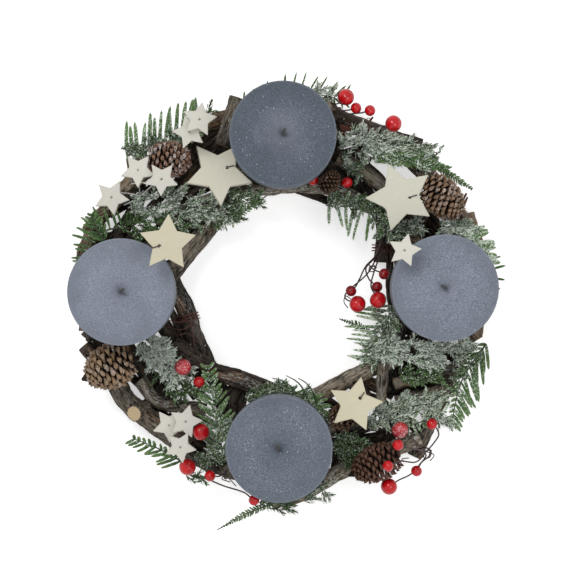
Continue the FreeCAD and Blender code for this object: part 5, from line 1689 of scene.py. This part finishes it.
def makeBinding():
    heap = newHeap()
    halfHigh = (lowerTop - boundSlim) / 2
    for first, last, width, turns in binding["turns"]:
        start = spot(*first, lowerTop - halfHigh)
        axis = (spot(*last, lowerTop - halfHigh) - start).normalized()
        side = axis.cross(upward)
        over = side.cross(axis)
        reach = max(width * view["pixelSize"] / 2, halfHigh) + binding["clear"] + binding["radius"]
        path = []
        for index in range(turns * binding["steps"] + 1):
            turned = index / binding["steps"]
            outwards = side * math.cos(2 * math.pi * turned) + over * math.sin(2 * math.pi * turned)
            path.append(start + outwards * reach + axis * binding["pitch"] * turned)
        addTube(heap, path, binding["radius"], 10, spacing=0.5 * mm)
    for loop in binding["loose"]:
        addTube(heap, spots(loop), binding["looseRadius"], spacing=0.6 * mm)
    copper = wireFinish("copperBrown", (0.16, 0.055, 0.04), 0.45, 0.35)
    handIn(pieceOf(heap, "wound_wire", [copper]), "ring", "binding_wire", "binding_wire")


makeBinding()
print("binding wound")


# snow: loose flecks on the tops of the branches
snow = {
    "seed": 77,
    "most": 3,               # flecks at a spot
    "scatter": 0.7 * mm,
    "sizes": (0.18 * mm, 0.5 * mm),
}


def makeSnow():
    heap = newHeap()
    rng = random.Random(snow["seed"])
    for point in snowSpots:
        for unused in range(rng.randint(1, snow["most"])):
            jitter = Vector((rng.gauss(0, 1), rng.gauss(0, 1), 0.2)) * snow["scatter"]
            addGrain(heap, held(point + jitter), rng.uniform(*snow["sizes"]), rng)
    handIn(pieceOf(heap, "snow_flecks", [frostGrain]), "ring", "bark")
    print("snow flecks:", len(heap["faces"]) // len(grit["faces"]))


makeSnow()


# stage, light and camera: each lamp with its place, size and watts
light = {
    "worldStrength": 0.55,
    "lamps": [
        ((-0.7, 0.9, 1.9), 0.8, 13.7),
        ((0.9, -0.5, 1.8), 1.0, 7.9),
        ((-0.35, 0.6, 1.9), 0.13, 1.6),
        ((0.45, 0.1, 1.9), 0.12, 0.7),
    ],
    "floorColour": (0.86, 0.86, 0.86),
    "floorGlow": 0.55,
    "floorReach": 6.0,
    "floorLevel": -0.2 * mm,
}


def backdropRays(tree):
    # the rays that show floor and world in their own pale tone, but don't light the ring
    path = node(tree, "LightPath")
    seen = times(tree, path.outputs["Is Camera Ray"], path.outputs["Is Glossy Ray"], "MAXIMUM")
    return times(tree, seen, path.outputs["Is Transmission Ray"], "MAXIMUM")


def makeStage():
    mesh = bpy.data.meshes.new("floor")
    reach, level = light["floorReach"], light["floorLevel"]
    corners = [(x * reach, y * reach, level) for x, y in ((-1, -1), (1, -1), (1, 1), (-1, 1))]
    mesh.from_pydata(corners, [], [(0, 1, 2, 3)])
    floor = placed("floor", mesh)
    material, tree, shader = finish("floorWhite", light["floorColour"], 0.9)
    shader.inputs["Emission Color"].default_value = (1, 1, 1, 1)
    tree.links.new(times(tree, backdropRays(tree), light["floorGlow"]), shader.inputs["Emission Strength"])
    mesh.materials.append(material)
    world = bpy.data.worlds.new("studio")
    bpy.context.scene.world = world
    world.use_nodes = True
    back = world.node_tree.nodes["Background"]
    back.inputs["Color"].default_value = (1, 1, 1, 1)
    shares = {"Value": backdropRays(world.node_tree), "To Min": light["worldStrength"], "To Max": 1.0}
    strength = node(world.node_tree, "MapRange", shares)
    world.node_tree.links.new(strength.outputs["Result"], back.inputs["Strength"])
    for number, (place, size, watts) in enumerate(light["lamps"]):
        lamp = bpy.data.lights.new("softbox" + str(number), "AREA")
        lamp.shape = "DISK"
        lamp.size = size
        lamp.energy = watts
        holder = placed("softbox" + str(number), lamp)
        holder.location = place
        holder.rotation_euler = (-Vector(place)).to_track_quat("-Z", "Y").to_euler()


def makeCamera():
    camera = bpy.data.cameras.new("camera")
    camera.sensor_width = view["sensor"]
    camera.lens = view["sensor"] * view["height"] / (view["pixelSize"] * view["picture"])
    camera.clip_end = 20
    holder = placed("camera", camera)
    holder.location = spot(*view["centre"], view["height"])
    bpy.context.scene.camera = holder


makeStage()
makeCamera()
bpy.context.scene.view_settings.view_transform = "Standard"
print("stage and camera ready")
